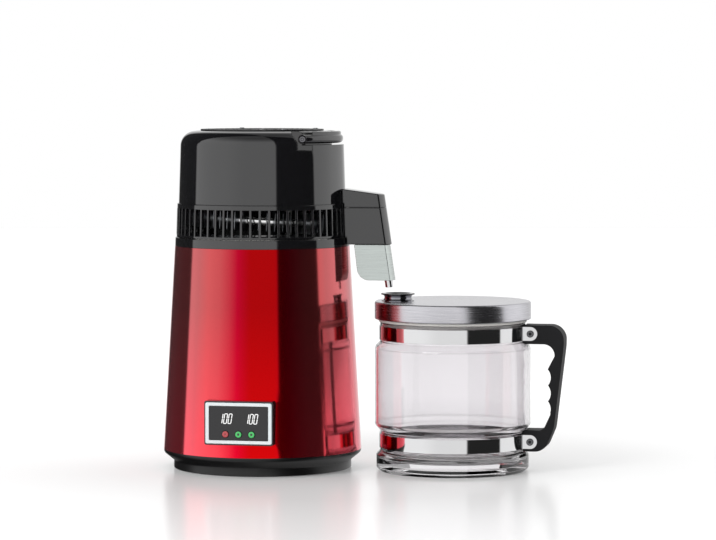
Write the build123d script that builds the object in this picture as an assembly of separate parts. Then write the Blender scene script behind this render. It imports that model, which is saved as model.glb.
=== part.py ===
from build123d import *
import math
import os

# Countertop water distiller with its collecting jug, in millimetres.
# The origin lies on the counter under the boiler's axis. X points to the spout, Z points up.

# Gaps: pieces pushed together, pieces that move apart, and a turning pin in its bore
fit_gap = 0.15
move_gap = 0.35
pin_gap = 0.06

# Base
pad_thick = 3.0
pad_rim = 5.0
foot_inset = 11.7
foot_height = 9.8
foot_lift = 0.8
base_floor = 3.0
base_wall = 3.2
flare_height = 9.2
base_shoulder = 3.5
upstand_height = 11.5
boss_height = 8.0
boss_radius = 8.0
leg_inset = 16.0
leg_radius = 4.5
leg_count = 3
leg_turn = 30.0
base_screw_radius = 2.0
base_screw_reach = 12.0
base_screw_head = 4.0

# Painted shell and its collar
shell_top_radius = 100.3
shell_taper = 13.4
shell_height = 233.0
shell_wall = 1.0
collar_height = 10.1
collar_rim = 3.8
collar_spigot = 8.5
ledge_depth = 4.1

# Boiler tank and heater
tank_inset = 6.5
tank_wall = 1.0
tank_bottom_z = 48.0
tank_corner = 9.0
flange_gap = 0.5
flange_thick = 1.0
heater_inset = 8.0
heater_thick = 8.0
element_inset = 16.0
element_radius = 4.0
element_span = 310.0
element_terminal = 13.0
stud_circle = 30.0
stud_radius = 2.0
nut_flats = 7.0
nut_thick = 3.2
cutout_radius = 9.0
cutout_height = 6.0

# Mains inlet and the small sockets of the fan lead, at the back
inlet_z = 58.0
inlet_face = (48.0, 23.0)
inlet_body = (28.0, 20.5)
inlet_recess = (24.0, 16.5)
inlet_flange = 7.2
inlet_room = 1.15
inlet_back = 5.0
inlet_proud = 1.5
inlet_pin = (2.0, 4.0, 11.5)
inlet_pin_pitch = 7.0
inlet_screw_pitch = 39.0
inlet_screw_radius = 1.6
bracket_thick = 1.2
lead_socket = (24.0, 14.0, 12.0)
lead_recess = (15.0, 8.0, 8.5)
lead_pin_radius = 1.0
lead_pin_pitch = 6.0
lead_outlet_drop = 27.5
lead_inlet_rise = 56.65

# Display panel, turned from the spout towards the user
panel_angle = -101.7
panel_z = 62.0
panel_proud = 6.07
housing_face = (79.0, 49.5)
housing_depth = 25.0
frame_face = (76.0, 46.0)
frame_thick = 1.5
window_face = (68.0, 38.5)
window_thick = 2.2
window_recess = 0.3
cavity_face = (64.0, 35.5)
board_thick = 1.6
board_depth = 12.5
digit_height = 10.8
digit_width = 3.4
digit_pitch = 5.2
digit_stroke = 0.9
digit_slant = 0.16
digit_thick = 0.25
number_pitch = 29.6
number_rise = 5.2
button_radius = 3.8
button_pitch = 15.0
button_drop = 12.4
button_proud = 0.6
button_flange = 4.5
button_flange_thick = 0.8
button_stem = 2.5
button_travel = 1.0
switch_size = 6.0
switch_height = 3.5

# Head: vent ring, dome and fan grille
ring_step = 1.7
ring_taper = 1.2
ring_height = 38.4
ring_wall = 4.0
rib_count = 58
rib_width = 2.4
rear_slots = (12.0, 168.0)
rear_wall = 1.2
slot_low = 2.6
slot_sill = 4.0
slot_high = 5.4
flange_width = 11.5
lip_height = 4.0
dome_step = 1.6
dome_taper = 2.6
dome_height = 80.4
dome_crown = 2.9
dome_shoulder = 17.0
dome_wall = 2.5
crown_rim = 1.5
opening_rim = 31.2
grille_rim = 8.5
grille_thick = 2.4
grille_rings = 7
grille_pitch = 6.0
grille_bar = 2.0
grille_spokes = 8
grille_hub = 14.0
grille_screw_inset = 4.5
grille_screw_turn = 22.5
grille_screw_depth = 8.0

# Bail handle, folded flat round the spout side of the dome
bail_setback = 46.0
bail_drop = 9.2
bail_inset = 0.4
bail_width = 10.3
bail_thick = 10.0
bail_round = 4.4
bail_rib_inset = 2.4
bail_rib_rise = 3.6
bail_rib_round = 2.0
bail_gap = 1.7
bail_ear_inset = 1.66
bail_straight = 11.0
plateau_gap = 2.3
plateau_round = 2.5
notch_drop = 6.0
notch_lean = 7.0
notch_edge = 4.0
notch_round = 4.5
bail_screw_radius = 3.0
bail_screw_head = 3.6

# Head: underside, condenser and fan
gasket_thick = 1.9
gasket_width = 9.5
plate_gap = 1.0
plate_thick = 1.2
coil_inset = 22.6
coil_tube = 4.75
coil_bore = 3.9
coil_turns = 2
coil_pitch = 26.5
coil_rise = 14.1
outlet_bend = 20.0
inlet_bend = 30.0
riser_bend = 14.0
fin_size = 24.0
fin_thick = 0.5
fin_step = 6.0
post_count = 3
post_angle = -60.0
post_inset = 15.5
post_thick = 1.5
post_width = 8.0
guide_gap = 6.5
guide_wall = 1.5
guide_foot = 5.0
guide_round = 4.0
motor_radius = 28.0
motor_height = 28.0
fan_radius = 57.0
fan_hub = 18.0
fan_drop = 33.65
fan_lift = 6.0
fan_hub_height = 18.0
fan_blades = 7
blade_chord = 24.0
blade_thick = 1.8
blade_pitch = 35.0
shaft_radius = 3.0

# Spout, filter cup and drip tube
spout_angle = -7.0
spout_width = 34.0
spout_wall = 2.2
spout_drop = 7.8
spout_side = 41.8
spout_length = 43.7
spout_slant = 6.2
spout_bulge = 5.5
spout_corner = 3.4
inner_corner = 0.5
cap_rise = 22.0
cap_slope = 7.8
cap_gap = 0.3
cap_lip = 4.0
cap_round = 1.6
spout_screw_radius = 1.8
spout_screw_head = 3.2
spout_screw_rise = 11.35
spout_screw_spread = 10.0
spout_boss = 4.0
spout_boss_depth = 8.0
cup_inset = 0.6
cup_wall = 1.0
cup_height = 40.45
cup_heel = 14.0
cup_distance = 7.7
cup_lean = 5.0
cup_rim = 3.2
cup_bulge = 4.2
cup_corner = 1.2
tube_radius = 4.5
tube_bore = 3.2
tube_length = 8.7
tube_beyond = 1.6
sachet_thick = 8.0

# Jug, standing under the spout
drip_gap = 5.9
port_distance = 11.4
jug_y = -27.0
glass_wall = 3.2
glass_neck_radius = 83.0
glass_foot_step = 4.4
glass_foot_height = 22.0
glass_belly_step = 5.9
glass_low_neck_z = 46.0
glass_neck = 21.8
glass_shoulder = 6.5
glass_floor = 13.0
punt_height = 5.0
strap_thick = 1.0
strap_height = 15.8
low_strap_rise = 5.0
high_strap_rise = 2.0
handle_angle = -11.0
handle_width = 28.0
handle_drop = 2.1
handle_rise = 2.0
handle_depth = 46.3
grip_depth = 17.8
arm_height = 21.4
low_arm_height = 24.3
finger_pitch = 17.95
hollow_depth = 3.2
tab_length = 16.2
tab_recess = 1.0
clamp_screw_radius = 2.0
clamp_head_radius = 4.0
clamp_head = 2.2
clamp_nut_flats = 7.0

# Lid and its filling port
lid_overhang = 6.2
lid_seat = 3.6
lid_height = 20.2
lid_wall = 1.0
lid_round = 2.5
plug_inset = 5.0
seal_lip = 8.0
seal_lip_thick = 3.0
port_inset = 15.4
port_hole = 13.0
port_foot = 18.6
port_waist = 15.6
port_mouth = 18.4
port_height = 7.2
port_wall = 1.3
insert_rim = 1.6
insert_tube = 5.5
insert_bore = 4.0

# Levels that follow from the sizes above
floor_z = pad_thick + base_floor
shell_bottom_z = foot_height + flare_height + base_shoulder
shell_top_z = shell_bottom_z + shell_height
collar_top_z = shell_top_z + collar_height
ledge_z = collar_top_z - ledge_depth
flange_top_z = ledge_z + flange_thick
gasket_z = flange_top_z + move_gap
plate_z = gasket_z + gasket_thick
ring_z = plate_z + plate_thick
dome_z = ring_z + ring_height
dome_top_z = dome_z + dome_height + dome_crown
grille_z = dome_top_z - 1.0
boss_top_z = floor_z + boss_height
heater_z = tank_bottom_z - heater_thick
lead_outlet_z = shell_top_z - lead_outlet_drop
lead_inlet_z = dome_z + lead_inlet_rise
bail_z = dome_top_z - bail_drop
bail_floor_z = bail_z - bail_thick / 2 - bail_gap
coil_low_z = ring_z + coil_rise
fan_z = dome_top_z - fan_drop
guide_top_z = fan_z - fan_lift - motor_height
spout_bottom_z = collar_top_z - spout_drop
spout_parting_z = spout_bottom_z + spout_side
spout_screw_z = coil_low_z + spout_screw_rise
cap_root_z = spout_parting_z + cap_rise
cup_top_z = spout_bottom_z - move_gap
cup_bottom_z = cup_top_z - cup_height
drip_z = cup_bottom_z - tube_length
port_top_z = drip_z - drip_gap - insert_rim
lid_top_z = port_top_z - port_height
lid_bottom_z = lid_top_z - lid_height
glass_height = lid_bottom_z - lid_seat
glass_high_neck_z = glass_height - glass_neck
low_strap_z = glass_foot_height + low_strap_rise
high_strap_z = glass_high_neck_z + high_strap_rise
handle_top_z = glass_height - handle_drop
handle_bottom_z = glass_foot_height + handle_rise

# Radii and distances that follow from the sizes above
shell_bottom_radius = shell_top_radius + shell_taper
foot_radius = shell_bottom_radius - foot_inset
pad_radius = foot_radius - pad_rim
collar_bore = shell_top_radius - collar_rim
flange_radius = collar_bore - flange_gap
tank_radius = collar_bore - tank_inset
leg_circle = tank_radius - leg_inset
heater_radius = leg_circle - heater_inset
element_circle = heater_radius - element_inset
plate_radius = collar_bore - plate_gap
gasket_bore = plate_radius - gasket_width
flange_bore = plate_radius - flange_width
ring_bottom_radius = shell_top_radius - ring_step
ring_top_radius = ring_bottom_radius - ring_taper
dome_bottom_radius = ring_top_radius - dome_step
dome_top_radius = dome_bottom_radius - dome_taper
top_opening = dome_top_radius - opening_rim
grille_radius = top_opening + grille_rim
grille_screw_circle = grille_radius - grille_screw_inset
crown_radius = grille_radius + crown_rim
bail_pivot_x = dome_top_radius - bail_setback
bail_outer = dome_top_radius - bail_inset
bail_inner = bail_outer - bail_width
bail_ear_inside = math.sqrt(bail_inner ** 2 - bail_pivot_x ** 2) - bail_ear_inset
plateau_radius = bail_inner - plateau_gap
coil_radius = ring_bottom_radius - coil_inset
post_radius = coil_radius - post_inset
guide_radius = post_radius - guide_gap
spout_bottom_reach = shell_top_radius + spout_length
spout_parting_reach = spout_bottom_reach - spout_slant
cup_root_top = shell_top_radius + cup_distance
cup_root_bottom = cup_root_top + cup_lean
tube_reach = spout_bottom_reach + tube_beyond
beyond = spout_bottom_reach + spout_width
glass_foot_radius = glass_neck_radius + glass_foot_step
glass_wide_radius = glass_neck_radius + glass_belly_step
lid_radius = glass_neck_radius + lid_overhang
plug_radius = glass_neck_radius - plug_inset
port_offset = plug_radius - port_inset
jug_x = spout_bottom_reach + port_distance + port_offset
handle_reach = glass_neck_radius + handle_depth
grip_inside = handle_reach - grip_depth
tab_reach = glass_neck_radius + tab_length


def shell_radius(z):
    """Outer radius of the painted shell at a height."""
    share = (z - shell_bottom_z) / shell_height
    return shell_bottom_radius + share * (shell_top_radius - shell_bottom_radius)


def dome_radius(z):
    """Outer radius of the dome's side at a height."""
    share = (z - dome_z) / dome_height
    return dome_bottom_radius + share * (dome_top_radius - dome_bottom_radius)


def ring_radius(z):
    """Outer radius of the vent ring at a height."""
    share = (z - ring_z) / ring_height
    return ring_bottom_radius + share * (ring_top_radius - ring_bottom_radius)


def outline(points):
    """Closed face through points; a third value on a point is that corner's radius."""
    corners = [Vector(point[0], point[1]) for point in points]
    spans = []
    for i, corner in enumerate(corners):
        radius = points[i][2] if len(points[i]) > 2 else 0
        before = (corners[i - 1] - corner).normalized()
        after = (corners[(i + 1) % len(corners)] - corner).normalized()
        if radius == 0:
            spans.append((corner, None, corner))
            continue
        half = math.radians(before.get_angle(after)) / 2
        reach = radius / math.tan(half)
        center = corner + (before + after).normalized() * (radius / math.sin(half))
        middle = center + (corner - center).normalized() * radius
        spans.append((corner + before * reach, middle, corner + after * reach))
    edges = []
    for i, (start, middle, end) in enumerate(spans):
        if middle is not None:
            edges.append(Edge.make_three_point_arc(start, middle, end))
        following = spans[(i + 1) % len(spans)][0]
        if (following - end).length > 1e-6:
            edges.append(Edge.make_line(end, following))
    return Face(Wire(edges))


def turned(points):
    """Solid of revolution about Z from an outline in radius and height."""
    return revolve(Plane.XZ * outline(points), Axis.Z)


def cylinder(radius, bottom, top):
    """Upright cylinder between two heights."""
    return Pos(0, 0, bottom) * Cylinder(radius, top - bottom, align=(Align.CENTER, Align.CENTER, Align.MIN))


def block(low, high):
    """Box between two opposite corners."""
    size = [high[i] - low[i] for i in range(3)]
    return Pos(*low) * Box(*size, align=(Align.MIN, Align.MIN, Align.MIN))


def around(shape, count, start=0.0):
    """Copies of a shape turned evenly about Z."""
    return [Rot(0, 0, start + i * 360 / count) * shape for i in range(count)]


def rod(radius, start, end):
    """Round rod between two points."""
    start = Vector(start)
    way = Vector(end) - start
    return Plane(origin=start, z_dir=way) * Cylinder(
        radius, way.length, align=(Align.CENTER, Align.CENTER, Align.MIN)
    )


def hexagon(flats, bottom, top):
    """Upright hexagonal bar."""
    face = RegularPolygon(flats / 2, 6, major_radius=False)
    return Pos(0, 0, bottom) * extrude(face, top - bottom)


def solids_of(shape):
    """All solids of a shape or of a list of shapes."""
    if isinstance(shape, (list, tuple)):
        return [solid for item in shape for solid in solids_of(item)]
    return list(shape.solids())


def save(name, shape):
    """Write one node; a group of solids becomes one compound."""
    solids = solids_of(shape)
    body = solids[0] if len(solids) == 1 else Compound(children=solids)
    export_step(body, f"parts/{name}.step")


# Base

def foot_pad():
    """Rubber disc that the boiler stands on."""
    return cylinder(pad_radius, 0, pad_thick)


def base_tray():
    """Moulded base: foot, flared shoulder and the upstand that the shell slips over."""
    flare_z = foot_height + flare_height
    seat = shell_radius(shell_bottom_z) - shell_wall - fit_gap
    upstand_z = shell_bottom_z + upstand_height
    upstand = shell_radius(upstand_z) - shell_wall - fit_gap
    rim = shell_bottom_radius - 0.3
    inside = foot_radius - base_wall
    tray = turned([
        (0, pad_thick),
        (pad_radius + fit_gap, pad_thick),
        (pad_radius + fit_gap, foot_lift),
        (foot_radius, foot_lift, 0.8),
        (foot_radius, foot_height, 2.0),
        (rim, flare_z, 4.0),
        (rim, shell_bottom_z),
        (seat, shell_bottom_z),
        (upstand, upstand_z),
        (upstand - base_wall, upstand_z),
        (upstand - base_wall, flare_z + base_shoulder, 3.0),
        (inside, foot_height + base_wall, 3.0),
        (inside, floor_z, 1.5),
        (0, floor_z),
    ])
    boss = Pos(leg_circle, 0, 0) * cylinder(boss_radius, floor_z - base_floor / 2, boss_top_z)
    pocket = Pos(leg_circle, 0, 0) * cylinder(base_screw_head + 0.4, pad_thick, floor_z + 2)
    hole = Pos(leg_circle, 0, 0) * cylinder(base_screw_radius + 0.2, pad_thick, boss_top_z + 1)
    tray += around(boss, leg_count, leg_turn)
    tray -= around(pocket, leg_count, leg_turn) + around(hole, leg_count, leg_turn)
    return tray


def base_screws():
    """Screws from below through the base into the tank's legs."""
    head = cylinder(base_screw_head, pad_thick + move_gap, floor_z + 2)
    shank = cylinder(base_screw_radius, floor_z, boss_top_z + base_screw_reach)
    return around(Pos(leg_circle, 0, 0) * (head + shank), leg_count, leg_turn)


def tank_legs():
    """Pillars between the base and the tank's bottom."""
    leg = cylinder(leg_radius, boss_top_z, tank_bottom_z)
    leg -= cylinder(base_screw_radius + 0.05, boss_top_z, boss_top_z + base_screw_reach + 0.5)
    return around(Pos(leg_circle, 0, 0) * leg, leg_count, leg_turn)


# Sockets at the back

def back_plane(distance, height):
    """Plane on the back of the unit, looking outwards along Y."""
    return Plane(origin=(0, distance, height), x_dir=(-1, 0, 0), z_dir=(0, 1, 0))


def slab(size, low, high, corner=0.0):
    """Rectangular slab about the local axis between two depths, with rounded corners."""
    face = RectangleRounded(*size, corner) if corner > 0 else Rectangle(*size)
    return Pos(0, 0, low) * extrude(face, high - low)


def inlet_plane():
    return back_plane(shell_radius(inlet_z) + inlet_proud, inlet_z)


def inlet_depth():
    """Depth of the inlet block, which ends short of the tank."""
    return shell_radius(inlet_z) + inlet_proud - tank_radius - inlet_room


def inlet_recess_depth():
    return inlet_depth() - inlet_back


def power_inlet():
    """Mains inlet block with its recess."""
    body = slab(inlet_face, -inlet_flange, 0, 2.0) + slab(inlet_body, -inlet_depth(), -inlet_flange)
    body -= slab(inlet_recess, -inlet_recess_depth(), 1, 2.0)
    screw = cylinder(inlet_screw_radius + 0.1, -inlet_flange - 1, 1)
    body -= [Pos(side * inlet_screw_pitch / 2, 0, 0) * screw for side in (-1, 1)]
    return inlet_plane() * body


def inlet_pins():
    """Three flat contacts in the inlet."""
    wide, tall, long = inlet_pin
    pin = slab((wide, tall), -inlet_recess_depth(), -inlet_recess_depth() + long)
    spots = [(-inlet_pin_pitch, -1.5), (0, 2.0), (inlet_pin_pitch, -1.5)]
    return [inlet_plane() * Pos(x, y, 0) * pin for x, y in spots]


def inlet_bracket():
    """Steel plate inside the shell that the inlet is screwed to."""
    reach = inlet_face[0] + 4
    plate = slab((reach, inlet_face[1] + 5), -inlet_flange - bracket_thick, -inlet_flange)
    window = (inlet_body[0] + 2 * fit_gap, inlet_body[1] + 2 * fit_gap)
    plate -= slab(window, -inlet_flange - 5, -inlet_flange + 1)
    hole = cylinder(inlet_screw_radius + 0.05, -inlet_flange - 5, 0)
    plate -= [Pos(side * inlet_screw_pitch / 2, 0, 0) * hole for side in (-1, 1)]
    return inlet_plane() * plate


def inlet_screws():
    """Two screws that hold the inlet to its bracket."""
    shank = cylinder(inlet_screw_radius, -inlet_flange - bracket_thick - 2, 0)
    head = cylinder(inlet_screw_radius + 1.3, 0, 0.9)
    return [inlet_plane() * Pos(side * inlet_screw_pitch / 2, 0, 0) * (shank + head) for side in (-1, 1)]


def small_socket(plane):
    """Two-pin socket for the lead between boiler and head."""
    wide, tall, deep = lead_socket
    body = slab((wide, tall), -deep, 0, 2.0)
    body -= slab(lead_recess[:2], -lead_recess[2], 1, 1.5)
    pin = cylinder(lead_pin_radius, -lead_recess[2] - 0.01, -4.5)
    body += [Pos(side * lead_pin_pitch / 2, 0, 0) * pin for side in (-1, 1)]
    return plane * body


def outlet_plane():
    return back_plane(shell_radius(lead_outlet_z) + inlet_proud, lead_outlet_z)


def head_inlet_plane():
    return back_plane(dome_radius(lead_inlet_z) + inlet_proud, lead_inlet_z)


# Display panel

def panel_plane():
    """Plane of the panel's front, with its x to the user's right and its z outwards."""
    turn = math.radians(panel_angle)
    outwards = (math.cos(turn), math.sin(turn), 0)
    distance = shell_radius(panel_z) + panel_proud
    origin = (distance * outwards[0], distance * outwards[1], panel_z)
    return Plane(origin=origin, x_dir=(-outwards[1], outwards[0], 0), z_dir=outwards)


def grown(size, gap):
    """Rectangle size with a gap added all round."""
    return (size[0] + 2 * gap, size[1] + 2 * gap)


def button_spots():
    """Places of the three buttons on the panel."""
    return [Pos(i * button_pitch, -button_drop, 0) for i in (-1, 0, 1)]


window_front = -window_recess
window_back = window_front - window_thick


def display_housing():
    """Black box of the display, let into the shell."""
    body = slab(housing_face, -housing_depth, -0.6, 2.5)
    body -= slab(grown(frame_face, fit_gap), -frame_thick, 1, 2.0)
    body -= slab(grown(window_face, fit_gap), window_back, 1, 1.2)
    body -= slab(cavity_face, -housing_depth - 1, 1)
    return panel_plane() * body


def display_frame():
    """Silver frame round the window."""
    body = slab(frame_face, -frame_thick, 0, 2.0)
    body -= slab(grown(window_face, fit_gap), -frame_thick - 1, 1, 1.2)
    return panel_plane() * body


def display_window():
    """Smoked window with three round holes for the buttons."""
    body = slab(window_face, window_back, window_front, 1.2)
    hole = cylinder(button_radius + 0.3, window_back - 1, window_front + 1)
    body -= [spot * hole for spot in button_spots()]
    return panel_plane() * body


def segment(start, end):
    """One lit bar of a digit, pointed at both ends and leaning with the digit."""
    start = Vector(*start)
    end = Vector(*end)
    way = (end - start).normalized()
    side = Vector(-way.Y, way.X) * (digit_stroke / 2)
    tip = way * (digit_stroke / 2 + 0.06)
    points = [start + way * 0.06, start + tip + side, end - tip + side, end - way * 0.06, end - tip - side]
    points.append(start + tip - side)
    leaning = [(point.X + digit_slant * point.Y, point.Y) for point in points]
    return extrude(outline(leaning), digit_thick, dir=(0, 0, 1))


def digit(value):
    """Seven-segment nought or one, centred on its middle."""
    x = digit_width / 2
    y = digit_height / 2
    right = [((x, 0), (x, y)), ((x, -y), (x, 0))]
    rest = [((-x, y), (x, y)), ((-x, -y), (x, -y)), ((-x, 0), (-x, y)), ((-x, -y), (-x, 0))]
    bars = right if value == 1 else right + rest
    return [segment(*bar) for bar in bars]


def display_digits():
    """Two numbers on the window."""
    plane = panel_plane()
    bars = []
    for side in (-1, 1):
        for place, value in enumerate((1, 0, 0)):
            x = side * number_pitch / 2 + (place - 1) * digit_pitch
            bars += [plane * Pos(x, number_rise, window_front) * bar for bar in digit(value)]
    return bars


def control_board():
    """Circuit board behind the window, held by the box's walls."""
    return panel_plane() * slab(grown(cavity_face, -move_gap), -board_depth, -board_depth + board_thick)


def tact_switches():
    """One switch behind each button."""
    low = -board_depth + board_thick
    body = slab((switch_size, switch_size), low, low + switch_height)
    body += cylinder(1.5, low, low + switch_height + 0.7)
    return [panel_plane() * spot * body for spot in button_spots()]


def button(index):
    """Push button: cap, retaining flange behind the window and stem."""
    back = window_back - move_gap
    switch_top = -board_depth + board_thick + switch_height + 0.7
    cap_z = window_front + button_proud
    body = turned([
        (0, switch_top + button_travel + 0.15),
        (button_stem, switch_top + button_travel + 0.15),
        (button_stem, back - button_flange_thick),
        (button_flange, back - button_flange_thick),
        (button_flange, back),
        (button_radius, back),
        (button_radius, cap_z, 0.5),
        (0, cap_z),
    ])
    return panel_plane() * button_spots()[index] * body


# Shell, collar and tank

def body_shell():
    """Painted steel cone with openings for the display and the sockets."""
    shell = turned([
        (shell_bottom_radius - shell_wall, shell_bottom_z),
        (shell_bottom_radius, shell_bottom_z),
        (shell_top_radius, shell_top_z),
        (shell_top_radius - shell_wall, shell_top_z),
    ])
    shell -= panel_plane() * slab(grown(housing_face, fit_gap), -housing_depth, 20, 2.5)
    shell -= inlet_plane() * slab(grown(inlet_face, fit_gap), -inlet_flange * 2, 10, 2.0)
    shell -= outlet_plane() * slab(grown(lead_socket[:2], fit_gap), -10, 10, 2.0)
    return shell


def collar():
    """Black ring on the shell's top with the ledge that carries the tank."""
    spigot_z = shell_top_z - collar_spigot
    inside = tank_radius + fit_gap
    return turned([
        (inside, spigot_z),
        (shell_radius(spigot_z) - shell_wall - 2 * fit_gap, spigot_z),
        (shell_radius(shell_top_z) - shell_wall - 2 * fit_gap, shell_top_z),
        (shell_top_radius - 0.1, shell_top_z),
        (shell_top_radius - 0.5, collar_top_z, 0.6),
        (collar_bore, collar_top_z, 0.4),
        (collar_bore, ledge_z),
        (inside, ledge_z),
    ])


def tank():
    """Drawn stainless pot whose flange hangs on the collar."""
    return turned([
        (0, tank_bottom_z),
        (tank_radius, tank_bottom_z, tank_corner),
        (tank_radius, ledge_z),
        (flange_radius, ledge_z),
        (flange_radius, flange_top_z),
        (tank_radius - tank_wall, flange_top_z, 0.8),
        (tank_radius - tank_wall, tank_bottom_z + tank_wall, tank_corner - tank_wall),
        (0, tank_bottom_z + tank_wall),
    ])


def heater_plate():
    """Aluminium plate pressed to the tank's bottom."""
    plate = cylinder(heater_radius, heater_z, tank_bottom_z)
    hole = Pos(stud_circle, 0, 0) * cylinder(stud_radius + 0.2, heater_z - 1, tank_bottom_z + 1)
    return plate - around(hole, 3)


def heating_element():
    """Open ring under the plate with two terminals pointing down."""
    ring = Torus(element_circle, element_radius, major_angle=element_span)
    end = Pos(element_circle, 0, 0) * cylinder(element_radius * 0.7, -element_terminal, 0)
    ring = ring + end + Rot(0, 0, element_span) * end
    return Pos(0, 0, heater_z - element_radius) * ring


def heater_fixings():
    """Studs on the tank's bottom and the nuts that hold the plate."""
    stud = cylinder(stud_radius, heater_z - nut_thick - 2, tank_bottom_z)
    nut = hexagon(nut_flats, heater_z - nut_thick, heater_z)
    nut -= cylinder(stud_radius + 0.05, heater_z - nut_thick - 1, heater_z + 1)
    return around(Pos(stud_circle, 0, 0) * stud, 3) + around(Pos(stud_circle, 0, 0) * nut, 3)


def thermal_cutout():
    """Overheat switch in the middle of the plate."""
    body = cylinder(cutout_radius, heater_z - cutout_height, heater_z)
    body += cylinder(cutout_radius + 3, heater_z - 1.2, heater_z)
    blade = block((-3, -0.4, heater_z - cutout_height - 8), (3, 0.4, heater_z - cutout_height))
    return body + [Pos(0, side * 4, 0) * blade for side in (-1, 1)]


# Head shells

def spout_frame():
    """Turns a shape from the spout's own frame to its place."""
    return Rot(0, 0, spout_angle)


def vent_slot(inside):
    """Slot cutter over the +X axis, from a radius outwards, with its sloping sill."""
    width = math.radians(360 / rib_count) * ring_top_radius - rib_width
    outside = ring_bottom_radius + 3
    low = ring_z + slot_low
    edge = ring_radius(low) + 0.2
    slope = (slot_sill + 1) / (edge - (ring_top_radius - ring_wall - 7))
    face = outline([
        (inside, low + slope * (edge - inside)),
        (edge, low),
        (outside, low),
        (outside, dome_z - slot_high),
        (inside, dome_z - slot_high),
    ])
    return extrude(Plane.XZ * face, width / 2, both=True)


def vent_slots():
    """Slot cutters between the ribs: none at the spout, and blind ones at the back."""
    pitch = 360 / rib_count
    through = vent_slot(ring_top_radius - ring_wall - 7)
    blind = vent_slot(ring_bottom_radius - ring_wall + rear_wall)
    blank = math.degrees(math.asin((spout_width / 2 + 1) / ring_top_radius)) + pitch / 2
    cutters = []
    for i in range(rib_count):
        turn = i * pitch
        from_spout = abs((turn - spout_angle + 180) % 360 - 180)
        if from_spout > blank:
            at_back = rear_slots[0] < turn < rear_slots[1]
            cutters.append(Rot(0, 0, turn) * (blind if at_back else through))
    return cutters


def spout_holes(radius, low, high):
    """Rods along the spout at its two screws."""
    spots = [(-spout_screw_spread, spout_screw_z), (spout_screw_spread, spout_screw_z)]
    return [spout_frame() * rod(radius, (low, y, z), (high, y, z)) for y, z in spots]


def outlet_rod(radius, low, high):
    """Rod along the condenser's outlet."""
    return spout_frame() * rod(radius, (low, 0, coil_low_z), (high, 0, coil_low_z))


def vent_ring():
    """Ribbed ring that lets the fan's air out past the condenser."""
    lip = dome_bottom_radius - dome_wall - 2 * fit_gap
    inside_low = ring_bottom_radius - ring_wall
    inside_high = ring_top_radius - ring_wall
    floor = ring_z + slot_low
    ring = turned([
        (flange_bore, ring_z),
        (ring_bottom_radius, ring_z, 0.5),
        (ring_top_radius, dome_z, 0.5),
        (lip, dome_z),
        (lip, dome_z + lip_height),
        (lip - 2, dome_z + lip_height),
        (lip - 2, dome_z - slot_high + 1),
        (inside_high, dome_z - slot_high),
        (inside_low, floor + slot_sill),
        (flange_bore, floor),
    ])
    ring -= vent_slots()
    ring -= spout_holes(spout_screw_radius + 0.1, flange_bore, ring_bottom_radius + spout_wall)
    ring -= [outlet_rod(coil_tube + 2.6, flange_bore, ring_bottom_radius + spout_wall)]
    return ring


def dome_outer(offset=0.0):
    """Solid dome, drawn in by an offset all round."""
    corner_z = dome_z + dome_height - offset
    top_z = dome_top_z - offset
    return turned([
        (0, dome_z),
        (dome_radius(dome_z) - offset, dome_z),
        (dome_top_radius - offset, corner_z, dome_shoulder - offset),
        (crown_radius - offset, top_z, 20),
        (0, top_z),
    ])


def recess_side(low, right, offset):
    """Side view of the bail's recess; its left end leans back under the dome's edge."""
    left = bail_pivot_x - bail_thick / 2 - move_gap - offset
    top = dome_top_z + 20
    return Plane.XZ * outline([
        (left, low),
        (right, low),
        (right, top),
        (left - notch_lean, top),
        (left - notch_lean, dome_top_z - notch_edge),
        (left, bail_z - bail_thick / 2, notch_round),
    ])


def bail_recess(offset=0.0):
    """Space cut from the dome for the folded bail, grown by an offset."""
    reach = dome_bottom_radius + 20
    top = dome_top_z + 20
    step = extrude(recess_side(bail_floor_z - offset, reach, offset), reach, both=True)
    plateau = plateau_radius - offset
    step -= turned([
        (0, dome_z),
        (plateau, dome_z),
        (plateau, dome_top_z - offset, plateau_round),
        (plateau - plateau_round - 1, dome_top_z - offset),
        (plateau - plateau_round - 1, top + 1),
        (0, top + 1),
    ])
    space = [step]
    wall = bail_ear_inside - 0.6 - offset
    low = bail_floor_z - notch_drop - offset
    notch_right = bail_pivot_x + bail_straight + offset
    for side in (-1, 1):
        ends = sorted((side * wall, side * reach))
        notch = extrude(recess_side(low, notch_right, offset), reach, both=True)
        space.append(notch & block((0, ends[0], low - 1), (reach, ends[1], top)))
    return space


def pivot_rod(radius, inside, outside, side):
    """Rod along the bail's pivot on one side."""
    return rod(radius, (bail_pivot_x, side * inside, bail_z), (bail_pivot_x, side * outside, bail_z))


def dome():
    """Gloss dome with the step for the bail and the opening for the fan's air."""
    wall_y = bail_ear_inside - 0.6
    cavity = dome_outer(dome_wall)
    cavity -= bail_recess(dome_wall)
    shell = dome_outer() - bail_recess() - cavity
    shell += [pivot_rod(6, wall_y - 10, wall_y, side) for side in (-1, 1)]
    shell -= [pivot_rod(bail_screw_radius - 0.9, wall_y - 9, wall_y + 5, side) for side in (-1, 1)]
    shell -= cylinder(top_opening, dome_z + dome_height / 2, dome_top_z + 10)
    shell -= cylinder(grille_radius + fit_gap, grille_z, dome_top_z + 10)
    screw = Pos(grille_screw_circle, 0, 0) * cylinder(1.3, grille_z - grille_screw_depth - 2, grille_z + 1)
    shell -= around(screw, 4, grille_screw_turn)
    shell -= head_inlet_plane() * slab(grown(lead_socket[:2], fit_gap), -12, 10, 2.0)
    return shell


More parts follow.
